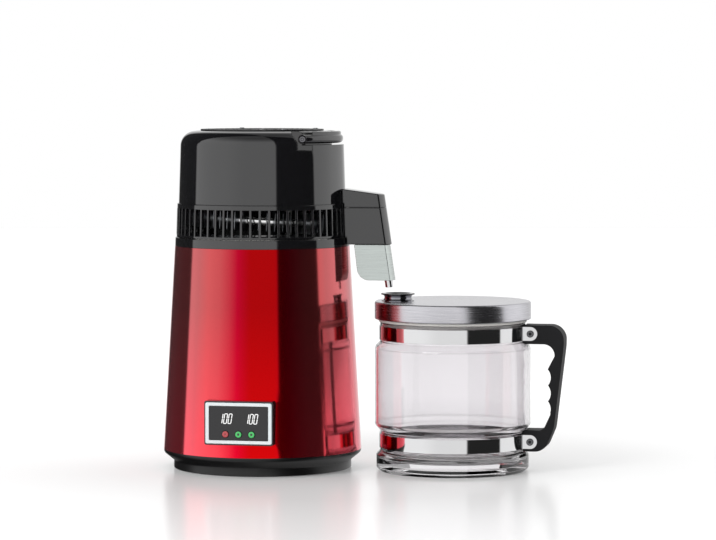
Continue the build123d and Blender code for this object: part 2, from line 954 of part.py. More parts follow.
def top_grille():
    """Fan guard of rings and spokes."""
    top = grille_z + grille_thick
    rim = cylinder(grille_radius, grille_z, top) - cylinder(top_opening - 2, grille_z - 1, top + 1)
    guard = [rim, cylinder(grille_hub, grille_z, top)]
    for i in range(grille_rings):
        middle = grille_hub + (i + 1) * grille_pitch
        ring = cylinder(middle + grille_bar / 2, grille_z, top)
        guard.append(ring - cylinder(middle - grille_bar / 2, grille_z - 1, top + 1))
    spoke = block((grille_hub - 2, -1.5, grille_z), (top_opening, 1.5, top))
    guard += around(spoke, grille_spokes)
    body = guard[0].fuse(*guard[1:])
    hole = Pos(grille_screw_circle, 0, 0) * cylinder(1.6, grille_z - 1, top + 1)
    return body - around(hole, 4, grille_screw_turn)


def grille_screws():
    """Four screws of the fan guard."""
    top = grille_z + grille_thick
    screw = cylinder(1.25, grille_z - grille_screw_depth, top) + cylinder(2.6, top, top + 0.9)
    return around(Pos(grille_screw_circle, 0, 0) * screw, 4, grille_screw_turn)


def bail():
    """Carrying handle, an arc round the dome with an ear at each end."""
    low = bail_z - bail_thick / 2
    high = bail_z + bail_thick / 2
    band = turned([
        (bail_inner, low, bail_round),
        (bail_outer, low, bail_round),
        (bail_outer, high, bail_round),
        (bail_inner, high, bail_round),
    ])
    reach = bail_outer + 10
    band &= block((bail_pivot_x, -reach, low - 1), (reach, reach, high + 1))
    ear_end = bail_pivot_x + bail_straight
    rib = turned([
        (bail_inner, bail_z),
        (bail_outer - bail_rib_inset, bail_z),
        (bail_outer - bail_rib_inset, high + bail_rib_rise, bail_rib_round),
        (bail_inner, high + bail_rib_rise, bail_rib_round),
    ])
    rib &= block((ear_end, -reach, low), (reach, reach, high + bail_rib_rise + 1))
    band += rib
    band -= block((bail_pivot_x - 1, -bail_ear_inside, low - 1), (ear_end, bail_ear_inside, high + 1))
    ears = [pivot_rod(bail_thick / 2, bail_ear_inside, reach, side) for side in (-1, 1)]
    limit = cylinder(bail_outer, low - 1, high + 1)
    body = band + [ear & limit for ear in ears]
    head = ear_outside() - 2.5
    body -= [pivot_rod(bail_screw_radius + pin_gap, bail_ear_inside - 1, reach, side) for side in (-1, 1)]
    body -= [pivot_rod(bail_screw_head + move_gap, head, reach, side) for side in (-1, 1)]
    return body


def ear_outside():
    """Distance of the ear's outer side from the middle, at the pivot."""
    return math.sqrt(bail_outer ** 2 - (bail_pivot_x + bail_thick / 2) ** 2)


def bail_screws():
    """Shoulder screws that the bail turns on."""
    wall_y = bail_ear_inside - 0.6
    head = ear_outside() - 2.5 + move_gap
    screws = []
    for side in (-1, 1):
        screw = pivot_rod(bail_screw_radius - 1, wall_y - 8, wall_y, side)
        screw += pivot_rod(bail_screw_radius, wall_y, head, side)
        screw += pivot_rod(bail_screw_head, head, head + 1.8, side)
        socket = Plane(
            origin=(bail_pivot_x, side * (head + 0.7), bail_z), z_dir=(0, side, 0)
        ) * extrude(RegularPolygon(1.5, 6, major_radius=False), 3)
        screws.append(screw - socket)
    return screws


# Underside of the head

def riser_spot():
    """Place of the steam riser, from the coil's top end and its bends."""
    turn = coil_start_turn()
    outwards = Vector(math.cos(turn), math.sin(turn))
    along = Vector(math.sin(turn), -math.cos(turn))
    return outwards * (coil_radius - inlet_bend - riser_bend) + along * inlet_bend


def base_plate():
    """Stainless plate that closes the head, with the steam hole."""
    plate = cylinder(plate_radius, plate_z, plate_z + plate_thick)
    spot = riser_spot()
    return plate - Pos(spot.X, spot.Y, 0) * cylinder(coil_tube + 2.5, plate_z - 1, plate_z + plate_thick + 1)


def head_gasket():
    """Silicone ring between the head and the tank's flange."""
    return cylinder(plate_radius, gasket_z, plate_z) - cylinder(gasket_bore, gasket_z - 1, plate_z + 1)


def steam_seal():
    """Grommet round the riser in the base plate."""
    spot = riser_spot()
    low = plate_z - 1.5
    high = plate_z + plate_thick + 1.5
    ring = cylinder(coil_tube + 2.4, low, high) + cylinder(coil_tube + 3.6, plate_z + plate_thick, high)
    return Pos(spot.X, spot.Y, 0) * (ring - cylinder(coil_tube + 0.05, low - 1, high + 1))


def biarc(start, start_way, end, end_way):
    """Two tangent arcs between two points with given directions."""
    span = end - start
    total = start_way + end_way
    bend = 2 * (1 - start_way.dot(end_way))
    reach = (-span.dot(total) + math.sqrt(span.dot(total) ** 2 + bend * span.dot(span))) / bend
    middle = (start + end + (start_way - end_way) * reach) * 0.5
    first = Edge.make_tangent_arc(start, start_way, middle)
    return [first, Edge.make_tangent_arc(middle, first % 1, end)]


def coil_start_turn():
    """Angle at which the outlet bend meets the coil, which leaves it towards the front."""
    return math.radians(spout_angle) - math.asin(outlet_bend / (coil_radius + outlet_bend))


def coil_point(turned_by):
    """Point and direction of the coil after an angle from its low end."""
    turn = coil_start_turn() - turned_by
    rise = coil_pitch / (2 * math.pi)
    point = Vector(
        coil_radius * math.cos(turn), coil_radius * math.sin(turn), coil_low_z + 1 + rise * turned_by
    )
    way = Vector(coil_radius * math.sin(turn), -coil_radius * math.cos(turn), rise).normalized()
    return point, way


def coil_path():
    """Outlet, bend, turns in quarter turns, and the bends to the steam riser."""
    spout_turn = math.radians(spout_angle)
    out = Vector(math.cos(spout_turn), math.sin(spout_turn))
    exit_radius = math.sqrt((coil_radius + outlet_bend) ** 2 - outlet_bend ** 2)
    tip = out * (ring_bottom_radius + 12) + Vector(0, 0, coil_low_z)
    bend_start = out * exit_radius + Vector(0, 0, coil_low_z)
    points = [coil_point(i * math.pi / 2) for i in range(4 * coil_turns + 1)]
    edges = [Edge.make_line(tip, bend_start)]
    edges += biarc(bend_start, out * -1, *points[0])
    for (start, start_way), (end, end_way) in zip(points, points[1:]):
        edges += biarc(start, start_way, end, end_way)
    top, way = points[-1]
    inwards = Vector(-top.X, -top.Y).normalized()
    along = Vector(way.X, way.Y).normalized()
    turn_end = top + (inwards + along) * inlet_bend
    edges += biarc(top, way, turn_end, inwards)
    drop = turn_end + (inwards - Vector(0, 0, 1)) * riser_bend
    edges += biarc(turn_end, inwards, drop, Vector(0, 0, -1))
    edges.append(Edge.make_line(drop, Vector(drop.X, drop.Y, plate_z - 0.5)))
    return Wire(edges)


def condenser_coil():
    """Stainless tube from the steam riser down to the spout, in one piece."""
    path = coil_path()
    start = Plane(origin=path @ 0, z_dir=path % 0)
    outside = sweep(start * Circle(coil_tube), path)
    bore = sweep(start * Circle(coil_bore), path)
    return outside - bore


def report_coil():
    """Print the least gap between the coil's turns, measured on points of its path."""
    path = coil_path()
    count = 400
    step = path.length / count
    points = [path @ (i / count) for i in range(count + 1)]
    apart = int(9 * coil_tube / step) + 1
    least = min(
        (points[i] - points[j]).length for i in range(count + 1) for j in range(i + apart, count + 1)
    )
    print(f"coil: {path.length:.1f} mm long, least gap {least - 2 * coil_tube:.2f} mm")


def post_turns():
    """Angles of the coil posts, in degrees."""
    return [post_angle + i * 360 / post_count for i in range(post_count)]


def coil_height(turn):
    """Heights of the coil's turns over an angle in degrees."""
    start = math.degrees(coil_start_turn())
    first = (start - turn) % 360
    return [coil_low_z + 1 + coil_pitch * (first / 360 + i) for i in range(coil_turns)]


def condenser_fins():
    """Square fins along the turns, left out at the posts and near both ends."""
    start = math.degrees(coil_start_turn())
    fin = slab((fin_size, fin_size), -fin_thick / 2, fin_thick / 2, 3.0)
    fin -= cylinder(coil_tube + 0.12, -1, 1)
    fins = []
    turned_by = 2 * fin_step
    while turned_by < 360 * coil_turns - fin_step:
        turn = start - turned_by
        clear = min(abs((turn - post + 180) % 360 - 180) for post in post_turns())
        if clear > post_width / 2 / coil_radius * 60 + 2.5:
            point, way = coil_point(math.radians(turned_by))
            plane = Plane(origin=point, x_dir=(point.X, point.Y, 0), z_dir=way)
            fins.append(plane * fin)
        turned_by += fin_step
    return fins


def coil_posts():
    """Strips that stand on the base plate and hold each turn with an arm."""
    bottom = plate_z + plate_thick
    posts = []
    for turn in post_turns():
        heights = coil_height(turn)
        half = post_width / 2
        post = block(
            (post_radius, -half, bottom), (post_radius + post_thick, half, heights[-1] + 3)
        )
        post += block((post_radius, -half, bottom), (post_radius + post_width, half, bottom + post_thick))
        reach = coil_radius - coil_tube - fit_gap
        arms = [block((post_radius, -2, z - 2.5), (reach, 2, z + 2.5)) for z in heights]
        posts.append(Rot(0, 0, turn) * (post + arms))
    return posts


# Fan

def air_guide():
    """Closed drum that carries the motor and turns the air outwards past the coil."""
    bottom = plate_z + plate_thick
    inside = guide_radius - guide_wall
    drum = turned([
        (inside, bottom),
        (guide_radius + guide_foot, bottom),
        (guide_radius + guide_foot, bottom + guide_wall),
        (guide_radius, bottom + guide_wall),
        (guide_radius, guide_top_z, guide_round),
        (0, guide_top_z),
        (0, guide_top_z - guide_wall),
        (inside, guide_top_z - guide_wall, guide_round - guide_wall),
    ])
    spot = riser_spot()
    return drum - Pos(spot.X, spot.Y, 0) * cylinder(coil_tube + 1.5, guide_top_z - guide_round, guide_top_z + 1)


def fan_motor():
    """Fan motor with the bore its shaft turns in."""
    top = guide_top_z + motor_height
    body = cylinder(motor_radius, guide_top_z, top - 3) + cylinder(motor_radius * 0.6, top - 3, top)
    return body - cylinder(shaft_radius + pin_gap, guide_top_z + 6, top + 1)


def fan_shaft():
    """Steel shaft from the motor to the fan's hub."""
    return cylinder(shaft_radius, guide_top_z + 7, fan_z + fan_hub_height)


def fan():
    """Hub with pitched blades."""
    top = fan_z + fan_hub_height
    middle = fan_z + fan_hub_height / 2
    hub = cylinder(fan_hub, fan_z, top) - cylinder(fan_hub - 2, fan_z - 1, top - 2)
    hub += cylinder(shaft_radius + 3, fan_z, top)
    blade = Box(fan_radius - fan_hub + 4, blade_chord, blade_thick, align=(Align.MIN, Align.CENTER, Align.CENTER))
    blade = Pos(fan_hub - 1, 0, middle) * Rot(blade_pitch, 0, 0) * blade
    blade &= cylinder(fan_radius, fan_z - 10, top + 10) - cylinder(fan_hub - 1, fan_z - 11, top + 11)
    body = hub.fuse(*around(blade, fan_blades))
    return body - cylinder(shaft_radius, fan_z - 1, top)


# Spout

def spout_plan(root, reach, half, bulge, corner):
    """Outline of the spout from above: straight sides, a bowed end and rounded corners."""
    edges = [
        Edge.make_line((root, -half), (reach, -half)),
        Edge.make_three_point_arc((reach, -half), (reach + bulge, 0), (reach, half)),
        Edge.make_line((reach, half), (root, half)),
        Edge.make_line((root, half), (root, -half)),
    ]
    face = Face(Wire(edges))
    ends = [vertex for vertex in face.vertices() if abs(vertex.X - reach) < 0.01]
    return face.fillet_2d(corner, ends)


def spout_reach(z):
    """Distance of the spout's end corner from the axis at a height."""
    share = (z - spout_bottom_z) / (spout_parting_z - spout_bottom_z)
    return spout_bottom_reach + share * (spout_parting_reach - spout_bottom_reach)


def spout_prism(root, low, high, inset, bulge=spout_bulge, corner=spout_corner):
    """Slanted-ended prism of the spout's section between two heights, drawn in by an inset."""
    half = spout_width / 2 - inset
    plans = [
        Pos(0, 0, z) * spout_plan(root, spout_reach(z) - inset, half, bulge, corner) for z in (low, high)
    ]
    return loft(plans, ruled=True)


def spout_housing():
    """Lower part of the spout, open above under the cap and below over the cup."""
    root = ring_top_radius - 12
    body = spout_prism(root, spout_bottom_z, spout_parting_z, 0)
    chamber_root = ring_bottom_radius + spout_wall + 1
    floor = spout_bottom_z + spout_wall
    inside = spout_corner - spout_wall
    body -= spout_prism(chamber_root, floor, spout_parting_z + 1, spout_wall, corner=inside)
    body -= spout_prism(cup_seat_root(), spout_bottom_z - 1, floor + 1, spout_wall, corner=inside)
    boss_end = chamber_root + spout_boss_depth
    for side in (-1, 1):
        y = side * spout_screw_spread
        body += rod(spout_boss, (chamber_root - 0.5, y, spout_screw_z), (boss_end, y, spout_screw_z))
    body = spout_frame() * body
    body -= turned([
        (0, ring_z - 20),
        (shell_top_radius + 2 * move_gap, ring_z - 20),
        (shell_top_radius + 2 * move_gap, collar_top_z + move_gap),
        (ring_radius(collar_top_z) + fit_gap, collar_top_z + move_gap),
        (ring_top_radius + fit_gap, dome_z),
        (0, dome_z),
    ])
    body -= spout_holes(spout_screw_radius - 0.3, root, boss_end - 1)
    body -= [outlet_rod(coil_tube + 0.3, root, chamber_root + 5)]
    return body


def cup_seat_root():
    """Nearest point to the axis of the hole that the cup's rim plugs into."""
    return cup_root_top + 2


def spout_screws():
    """Two screws from inside the vent ring into the spout."""
    wall = math.sqrt((ring_top_radius - ring_wall - 0.5) ** 2 - (spout_screw_spread + 4) ** 2)
    screws = []
    for side in (-1, 1):
        y = side * spout_screw_spread
        end = ring_bottom_radius + spout_wall + 6
        screw = rod(spout_screw_radius - 0.35, (wall - 1, y, spout_screw_z), (end, y, spout_screw_z))
        screw += rod(spout_screw_head, (wall - 2, y, spout_screw_z), (wall - 0.2, y, spout_screw_z))
        screws.append(spout_frame() * screw)
    return screws


def outlet_seal():
    """Silicone sleeve round the condenser's outlet in the vent ring."""
    sleeve = outlet_rod(coil_tube + 2.5, ring_top_radius - ring_wall + 0.6, ring_top_radius - 0.5)
    return sleeve - outlet_rod(coil_tube + 0.05, flange_bore, beyond)


def spout_cap():
    """Lift-off cover of the spout, sloping down to its end, with a lip inside the housing."""
    root = ring_top_radius - 6
    low = spout_parting_z + cap_gap
    high = cap_root_z + 12
    outer = spout_prism(root, low, high, 0)
    inside = spout_corner - spout_wall
    cavity = spout_prism(root + spout_wall + 7, low - 1, high, spout_wall, corner=inside)
    lean = math.tan(math.radians(cap_slope))
    run = spout_bottom_reach + 20 - root
    side = Plane.XZ * outline([
        (root - 10, low - 5),
        (root + run, low - 5),
        (root + run, cap_root_z - lean * run),
        (root - 10, cap_root_z + lean * 10),
    ])
    under = extrude(side, spout_width, both=True)
    body = outer & under
    tops = []
    for edge in body.edges():
        middle = edge.center()
        slope_z = cap_root_z - lean * (middle.X - root)
        if middle.X > root + 5 and abs(middle.Z - slope_z) < 0.2:
            tops.append(edge)
    body = fillet(tops, cap_round)
    body -= cavity & Pos(0, 0, -spout_wall) * under
    lip_root = ring_bottom_radius + spout_wall + 2
    gap = spout_wall + move_gap
    lip = spout_prism(lip_root, low - cap_lip, low + 1, gap, corner=spout_corner - gap)
    lip += spout_prism(lip_root, low, low + 1.5, spout_wall - 0.5, corner=spout_corner - spout_wall + 0.5)
    lip -= spout_prism(lip_root + 1.5, low - cap_lip - 1, low + 2, gap + 1.5, corner=inner_corner)
    body = spout_frame() * (body + lip)
    return body - turned([
        (0, spout_bottom_z),
        (ring_top_radius + 0.5, spout_bottom_z),
        (ring_top_radius + 0.5, dome_z + move_gap),
        (dome_bottom_radius + 0.5, dome_z + move_gap),
        (dome_radius(cap_root_z + 10) + 0.5, cap_root_z + 10),
        (0, cap_root_z + 10),
    ])


# Filter cup

def cup_solid(inset):
    """The cup's outer block, drawn in by an inset."""
    top = cup_top_z
    bottom = cup_bottom_z + inset
    corner = cup_corner if inset == 0 else inner_corner
    plan = spout_prism(cup_root_top - 15, bottom - 5, top + 1, cup_inset + inset, cup_bulge, corner)
    side = Plane.XZ * outline([
        (cup_root_top + inset, top),
        (cup_root_bottom + inset, bottom, cup_heel - inset),
        (beyond, bottom),
        (beyond, top),
    ])
    return plan & extrude(side, spout_width, both=True)


def filter_cup():
    """Steel cup under the spout, with a shallow rim that plugs into the housing."""
    body = cup_solid(0)
    cavity = cup_solid(cup_wall) & block((0, -spout_width, 0), (beyond, spout_width, cup_top_z - cup_wall))
    inset = spout_wall + move_gap
    rim_top = cup_top_z + cup_rim
    root = cup_seat_root() + move_gap
    rim = spout_prism(root, cup_top_z - 0.5, rim_top, inset, corner=spout_corner - inset)
    mouth = spout_prism(root + cup_wall, cup_bottom_z, rim_top + 1, inset + cup_wall, corner=inner_corner)
    mouth &= block((0, -spout_width, cup_top_z - cup_wall - 1), (beyond, spout_width, rim_top + 2))
    body = body - cavity + rim - mouth
    body -= tube_rod(tube_radius + 0.05)
    return spout_frame() * body


def tube_rod(radius, grow=0.0):
    """Rod along the drip tube, in the spout's own frame."""
    lean = math.atan2(spout_bottom_reach - spout_parting_reach, spout_parting_z - spout_bottom_z)
    top_z = cup_bottom_z + cup_wall + 1.2
    run = math.tan(lean)
    tip = (tube_reach - run * (grow - tube_length), 0, drip_z - grow)
    top = (tube_reach - run * (cup_wall + 1.2 + grow), 0, top_z + grow)
    return rod(radius, tip, top)


def drip_tube():
    """Short tube through the cup's floor."""
    tube = tube_rod(tube_radius) - tube_rod(tube_bore, 1)
    trim = block((0, -spout_width, drip_z - 5), (beyond, spout_width, drip_z))
    return spout_frame() * (tube - trim)


def carbon_sachet():
    """Charcoal sachet lying on the cup's floor, short of the drip tube."""
    low = cup_bottom_z + cup_wall + move_gap
    half = spout_width / 2 - cup_inset - cup_wall - 1.5
    root = cup_root_bottom + cup_heel + 1
    end = tube_reach - tube_radius - 2
    body = block((root - 6, -half, low), (end, half, low + sachet_thick))
    body = fillet(body.edges(), 2.8)
    body &= cup_solid(cup_wall + move_gap)
    return spout_frame() * body


# Jug

def jug_place():
    """Puts a shape from the jug's own frame to its place."""
    return Pos(jug_x, jug_y, 0)


def handle_place():
    """Puts a shape from the handle's frame, x outwards, to its place."""
    return jug_place() * Rot(0, 0, handle_angle)


def jug_glass():
    """Glass jug with a heavy foot, two waists for the straps and a wide belly."""
    inner_neck = glass_neck_radius - glass_wall
    inner_wide = glass_wide_radius - glass_wall
    low = glass_low_neck_z
    high = glass_high_neck_z
    slope = glass_shoulder
    foot_top = glass_foot_height
    side = [
        (glass_foot_radius - 4, 0, 1.5),
        (glass_foot_radius, 4, 2.5),
        (glass_foot_radius, foot_top - 3.5, 3.0),
        (glass_neck_radius, foot_top + 1.5, 2.0),
        (glass_neck_radius, low, 3.0),
        (glass_wide_radius, low + slope, 5.0),
        (glass_wide_radius, high - slope, 5.0),
        (glass_neck_radius, high, 3.0),
        (glass_neck_radius, glass_height, 1.4),
        (inner_neck, glass_height, 1.4),
        (inner_neck, high - 0.5, 3.0),
        (inner_wide, high - slope - 1.2, 5.0),
        (inner_wide, low + slope + 1.2, 5.0),
        (inner_neck, low + 0.5, 3.0),
        (inner_neck, glass_floor, 9.0),
        (0, glass_floor),
        (0, punt_height),
        (glass_foot_radius * 0.55, punt_height, 25.0),
        (glass_foot_radius - 14, 0, 2.0),
    ]
    return jug_place() * turned(side)


strap_inner = glass_neck_radius + 0.1
strap_outer = strap_inner + strap_thick
tab_radius = strap_height / 2
tab_center = tab_reach - tab_radius
tab_side = handle_width / 2 - tab_recess


def strap(bottom):
    """Steel band round a waist; its ends turn out into tabs on the handle's two sides."""
    top = bottom + strap_height
    band = cylinder(strap_outer, bottom, top) - cylinder(strap_inner, bottom - 1, top + 1)
    band -= block((0, -tab_side, bottom - 1), (strap_outer + 5, tab_side, top + 1))
    root = math.sqrt(strap_inner ** 2 - tab_side ** 2) + 0.2
    middle = (bottom + top) / 2
    for side in (-1, 1):
        ends = sorted((side * tab_side, side * (tab_side + strap_thick)))
        tab = block((root, ends[0], bottom), (tab_center, ends[1], top))
        tab += rod(tab_radius, (tab_center, ends[0], middle), (tab_center, ends[1], middle))
        band += tab
    hole = rod(clamp_screw_radius + 0.1, (tab_center, -handle_width, middle), (tab_center, handle_width, middle))
    return handle_place() * (band - hole)


def strap_middles():
    return [z + strap_height / 2 for z in (low_strap_z, high_strap_z)]


def grip_outline():
    """Side view of the handle, with finger hollows on the inside of the grip."""
    root = glass_neck_radius - 10
    low_arm = handle_bottom_z + low_arm_height
    high_arm = handle_top_z - arm_height
    outer_low = handle_reach - 11
    face = outline([
        (root, handle_bottom_z),
        (handle_reach - 22, handle_bottom_z, 16.0),
        (outer_low, low_arm + 2, 30.0),
        (handle_reach, handle_top_z - 24, 60.0),
        (handle_reach + 0.5, handle_top_z, 17.0),
        (root, handle_top_z),
    ])
    gap = outline([
        (root - 1, low_arm),
        (grip_inside - 5.5, low_arm, 8.0),
        (grip_inside + hollow_depth, low_arm + 19, 6.0),
        (grip_inside - 0.5, low_arm + 33),
        (grip_inside - 0.5, high_arm - 28.5),
        (grip_inside + 7.3, high_arm - 13.6),
        (grip_inside + 7.5, high_arm, 12.5),
        (root - 1, high_arm),
    ])
    face -= gap
    hollow = ((finger_pitch / 2) ** 2 + hollow_depth ** 2) / (2 * hollow_depth)
    middle = low_arm + 42.4
    for i in (-1, 0, 1):
        face -= Pos(grip_inside + hollow_depth - hollow, middle + i * finger_pitch) * Circle(hollow)
    return face


def handle():
    """Black handle clamped between the tabs of the two straps."""
    half = handle_width / 2
    body = extrude(Plane.XZ * grip_outline(), half, both=True)
    belly = glass_wide_radius + fit_gap
    foot = glass_foot_radius + fit_gap
    body -= turned([
        (0, 0),
        (foot, 0),
        (foot, glass_foot_height - 3.5),
        (strap_outer + fit_gap, glass_foot_height + 1.5),
        (strap_outer + fit_gap, glass_low_neck_z + 0.5),
        (belly, glass_low_neck_z + glass_shoulder),
        (belly, glass_high_neck_z - glass_shoulder),
        (strap_outer + fit_gap, glass_high_neck_z - 0.5),
        (strap_outer + fit_gap, handle_top_z + 10),
        (0, handle_top_z + 10),
    ])
    for middle in strap_middles():
        for side in (-1, 1):
            ends = sorted((side * tab_side, side * (half + 1)))
            grow = tab_radius + fit_gap
            pocket = block((tab_center - handle_width, ends[0], middle - grow), (tab_center, ends[1], middle + grow))
            pocket += rod(grow, (tab_center, ends[0], middle), (tab_center, ends[1], middle))
            body -= pocket
        body -= rod(
            clamp_screw_radius + 0.1, (tab_center, -handle_width, middle), (tab_center, handle_width, middle)
        )
    return handle_place() * body


def clamp_screws():
    """Through screws with a hex socket head on the user's side."""
    outside = handle_width / 2 - tab_recess + strap_thick
    screws = []
    for middle in strap_middles():
        shank = rod(clamp_screw_radius, (tab_center, -outside, middle), (tab_center, outside + 5, middle))
        head = rod(clamp_head_radius, (tab_center, -outside - clamp_head, middle), (tab_center, -outside, middle))
        socket = Plane(origin=(tab_center, -outside - clamp_head + 1.2, middle), z_dir=(0, -1, 0)) * extrude(
            RegularPolygon(1.5, 6, major_radius=False), 3
        )
        screws.append(handle_place() * (shank + head - socket))
    return screws


def clamp_nuts():
    """Nuts on the far side of the handle."""
    outside = handle_width / 2 - tab_recess + strap_thick
    nuts = []
    for middle in strap_middles():
        place = Plane(origin=(tab_center, outside, middle), z_dir=(0, 1, 0))
        nut = hexagon(clamp_nut_flats, 0, nut_thick) - cylinder(clamp_screw_radius + 0.05, -1, nut_thick + 1)
        nuts.append(handle_place() * (place * nut))
    return nuts


# Lid

def port_place():
    """Axis of the filling port, on the spout's side of the lid."""
    return Pos(jug_x - port_offset, jug_y, 0)


def lid():
    """Brushed steel lid: a flat pan with a closed rim."""
    low = lid_bottom_z
    body = turned([
        (plug_radius, low),
        (lid_radius, low, 0.9),
        (lid_radius, lid_top_z, lid_round),
        (0, lid_top_z),
        (0, lid_top_z - lid_wall),
        (lid_radius - lid_wall, lid_top_z - lid_wall, lid_round - lid_wall),
        (lid_radius - lid_wall, low + lid_wall),
        (plug_radius, low + lid_wall),
    ])
    return jug_place() * body - port_place() * cylinder(port_hole, lid_top_z - 5, lid_top_z + 1)


def lid_liner():
    """Plastic disc that closes the lid from below."""
    low = lid_bottom_z - 1
    plug = turned([
        (0, low),
        (plug_radius - fit_gap, low),
        (plug_radius - fit_gap, lid_bottom_z + lid_wall),
        (plug_radius + 3, lid_bottom_z + lid_wall),
        (plug_radius + 3, lid_bottom_z + lid_wall + 1.2),
        (0, lid_bottom_z + lid_wall + 1.2),
    ])
    return jug_place() * plug - port_place() * cylinder(insert_tube + fit_gap, low - 1, lid_bottom_z + 5)


def lid_seal():
    """Silicone seal on the jug's rim, with a lip inside the neck."""
    inner_neck = glass_neck_radius - glass_wall
    high = lid_bottom_z
    low = glass_height + move_gap
    lip = inner_neck - move_gap
    return jug_place() * turned([
        (lip - seal_lip_thick, low - seal_lip, 1.0),
        (lip, low - seal_lip, 1.0),
        (lip, low),
        (glass_neck_radius + 1.5, low, 0.8),
        (glass_neck_radius + 1.5, high - 0.4, 0.5),
        (plug_radius + 0.2, high - 0.4),
        (plug_radius + 0.2, low + 0.6),
        (lip - seal_lip_thick, low - 0.5),
    ])


def port_collar():
    """Chrome collar of the port, waisted between its foot and its mouth."""
    low = lid_top_z
    high = port_top_z
    waist_z = low + port_height * 0.45
    wall = port_wall
    edges = [
        Edge.make_line((port_hole + 0.2, low), (port_foot, low)),
        Edge.make_line((port_foot, low), (port_foot, low + 0.7)),
        Edge.make_three_point_arc((port_foot, low + 0.7), (port_waist, waist_z), (port_mouth, high)),
        Edge.make_line((port_mouth, high), (port_mouth - wall, high)),
        Edge.make_three_point_arc(
            (port_mouth - wall, high), (port_waist - wall, waist_z), (port_foot - 2 * wall, low + 1.5)
        ),
        Edge.make_line((port_foot - 2 * wall, low + 1.5), (port_hole + 0.2, low + 1.5)),
        Edge.make_line((port_hole + 0.2, low + 1.5), (port_hole + 0.2, low)),
    ]
    return port_place() * revolve(Plane.XZ * Face(Wire(edges)), Axis.Z)


def port_insert():
    """Black funnel in the port; its rim covers the collar's mouth."""
    rim = port_mouth + 0.8
    low = lid_bottom_z - 2
    cone_top = port_mouth - port_wall - 3.2
    waist = port_hole - 0.6
    return port_place() * turned([
        (insert_bore, low),
        (insert_tube, low),
        (insert_tube, lid_top_z - 8),
        (waist, lid_top_z - 1.5),
        (waist, lid_top_z + port_height * 0.5),
        (cone_top + 0.9, port_top_z),
        (rim, port_top_z, 0.4),
        (rim, port_top_z + insert_rim, 0.7),
        (cone_top + 0.6, port_top_z + insert_rim, 0.4),
        (waist - 1.4, lid_top_z + port_height * 0.5),
        (waist - 1.4, lid_top_z - 1),
        (insert_bore, lid_top_z - 7.5),
    ])


def build():
    os.makedirs("parts", exist_ok=True)
    save("foot_pad", foot_pad())
    save("base_tray", base_tray())
    save("base_screws", base_screws())
    save("tank_legs", tank_legs())
    save("body_shell", body_shell())
    save("collar", collar())
    save("tank", tank())
    save("heater_plate", heater_plate())
    save("heating_element", heating_element())
    save("heater_fixings", heater_fixings())
    save("thermal_cutout", thermal_cutout())
    save("power_inlet", power_inlet())
    save("inlet_pins", inlet_pins())
    save("inlet_bracket", inlet_bracket())
    save("inlet_screws", inlet_screws())
    save("fan_outlet", small_socket(outlet_plane()))
    save("display_housing", display_housing())
    save("display_frame", display_frame())
    save("display_window", display_window())
    save("display_digits", display_digits())
    save("control_board", control_board())
    save("tact_switches", tact_switches())
    for index, name in enumerate(("button_power", "button_start", "button_set")):
        save(name, button(index))
    save("base_plate", base_plate())
    save("head_gasket", head_gasket())
    save("vent_ring", vent_ring())
    save("dome", dome())
    save("top_grille", top_grille())
    save("grille_screws", grille_screws())
    save("bail", bail())
    save("bail_screws", bail_screws())
    save("condenser_coil", condenser_coil())
    save("condenser_fins", condenser_fins())
    save("coil_posts", coil_posts())
    save("steam_seal", steam_seal())
    save("fan_motor", fan_motor())
    save("air_guide", air_guide())
    save("fan", fan())
    save("fan_shaft", fan_shaft())
    save("fan_inlet", small_socket(head_inlet_plane()))
    save("spout_housing", spout_housing())
    save("spout_cap", spout_cap())
    save("spout_screws", spout_screws())
    save("outlet_seal", outlet_seal())
    save("filter_cup", filter_cup())
    save("drip_tube", drip_tube())
    save("carbon_sachet", carbon_sachet())
    save("jug_glass", jug_glass())
    save("upper_strap", strap(high_strap_z))
    save("lower_strap", strap(low_strap_z))
    save("handle", handle())
    save("clamp_screws", clamp_screws())
    save("clamp_nuts", clamp_nuts())
    save("lid", lid())
    save("lid_liner", lid_liner())
    save("lid_seal", lid_seal())
    save("port_collar", port_collar())
    save("port_insert", port_insert())
    report_coil()


build()
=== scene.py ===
import math

import bpy
from mathutils import Matrix, Vector


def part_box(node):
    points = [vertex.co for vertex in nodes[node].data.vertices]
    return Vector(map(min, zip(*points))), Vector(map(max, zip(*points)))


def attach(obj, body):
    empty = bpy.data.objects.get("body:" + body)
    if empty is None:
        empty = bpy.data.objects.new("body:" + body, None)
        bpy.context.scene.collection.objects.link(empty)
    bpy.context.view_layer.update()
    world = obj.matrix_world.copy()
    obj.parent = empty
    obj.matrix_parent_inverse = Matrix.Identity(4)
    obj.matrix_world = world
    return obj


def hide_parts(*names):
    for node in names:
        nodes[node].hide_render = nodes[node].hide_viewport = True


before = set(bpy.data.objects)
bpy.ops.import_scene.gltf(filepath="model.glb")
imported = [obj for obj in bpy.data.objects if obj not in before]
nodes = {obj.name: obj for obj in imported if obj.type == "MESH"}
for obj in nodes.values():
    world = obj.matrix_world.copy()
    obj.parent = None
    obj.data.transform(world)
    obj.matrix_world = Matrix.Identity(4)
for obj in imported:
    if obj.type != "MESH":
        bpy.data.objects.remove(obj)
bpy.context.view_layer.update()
scene = bpy.context.scene


# The picture is taken from the front and a little above, from nearly four metres away with a
# long lens, so that the upright sides stay almost parallel.
CAMERA_PLACE = (0.1098, -3.728, 0.444)
CAMERA_DIP = 3.33
CAMERA_LENS = 163.4

camera = bpy.data.objects.new("camera", bpy.data.cameras.new("camera"))
camera.data.lens = CAMERA_LENS
camera.data.sensor_width = 36.0
camera.data.clip_end = 50.0
camera.location = CAMERA_PLACE
camera.rotation_euler = (math.radians(90 - CAMERA_DIP), 0, 0)
scene.collection.objects.link(camera)
scene.camera = camera
scene.view_settings.view_transform = "Standard"


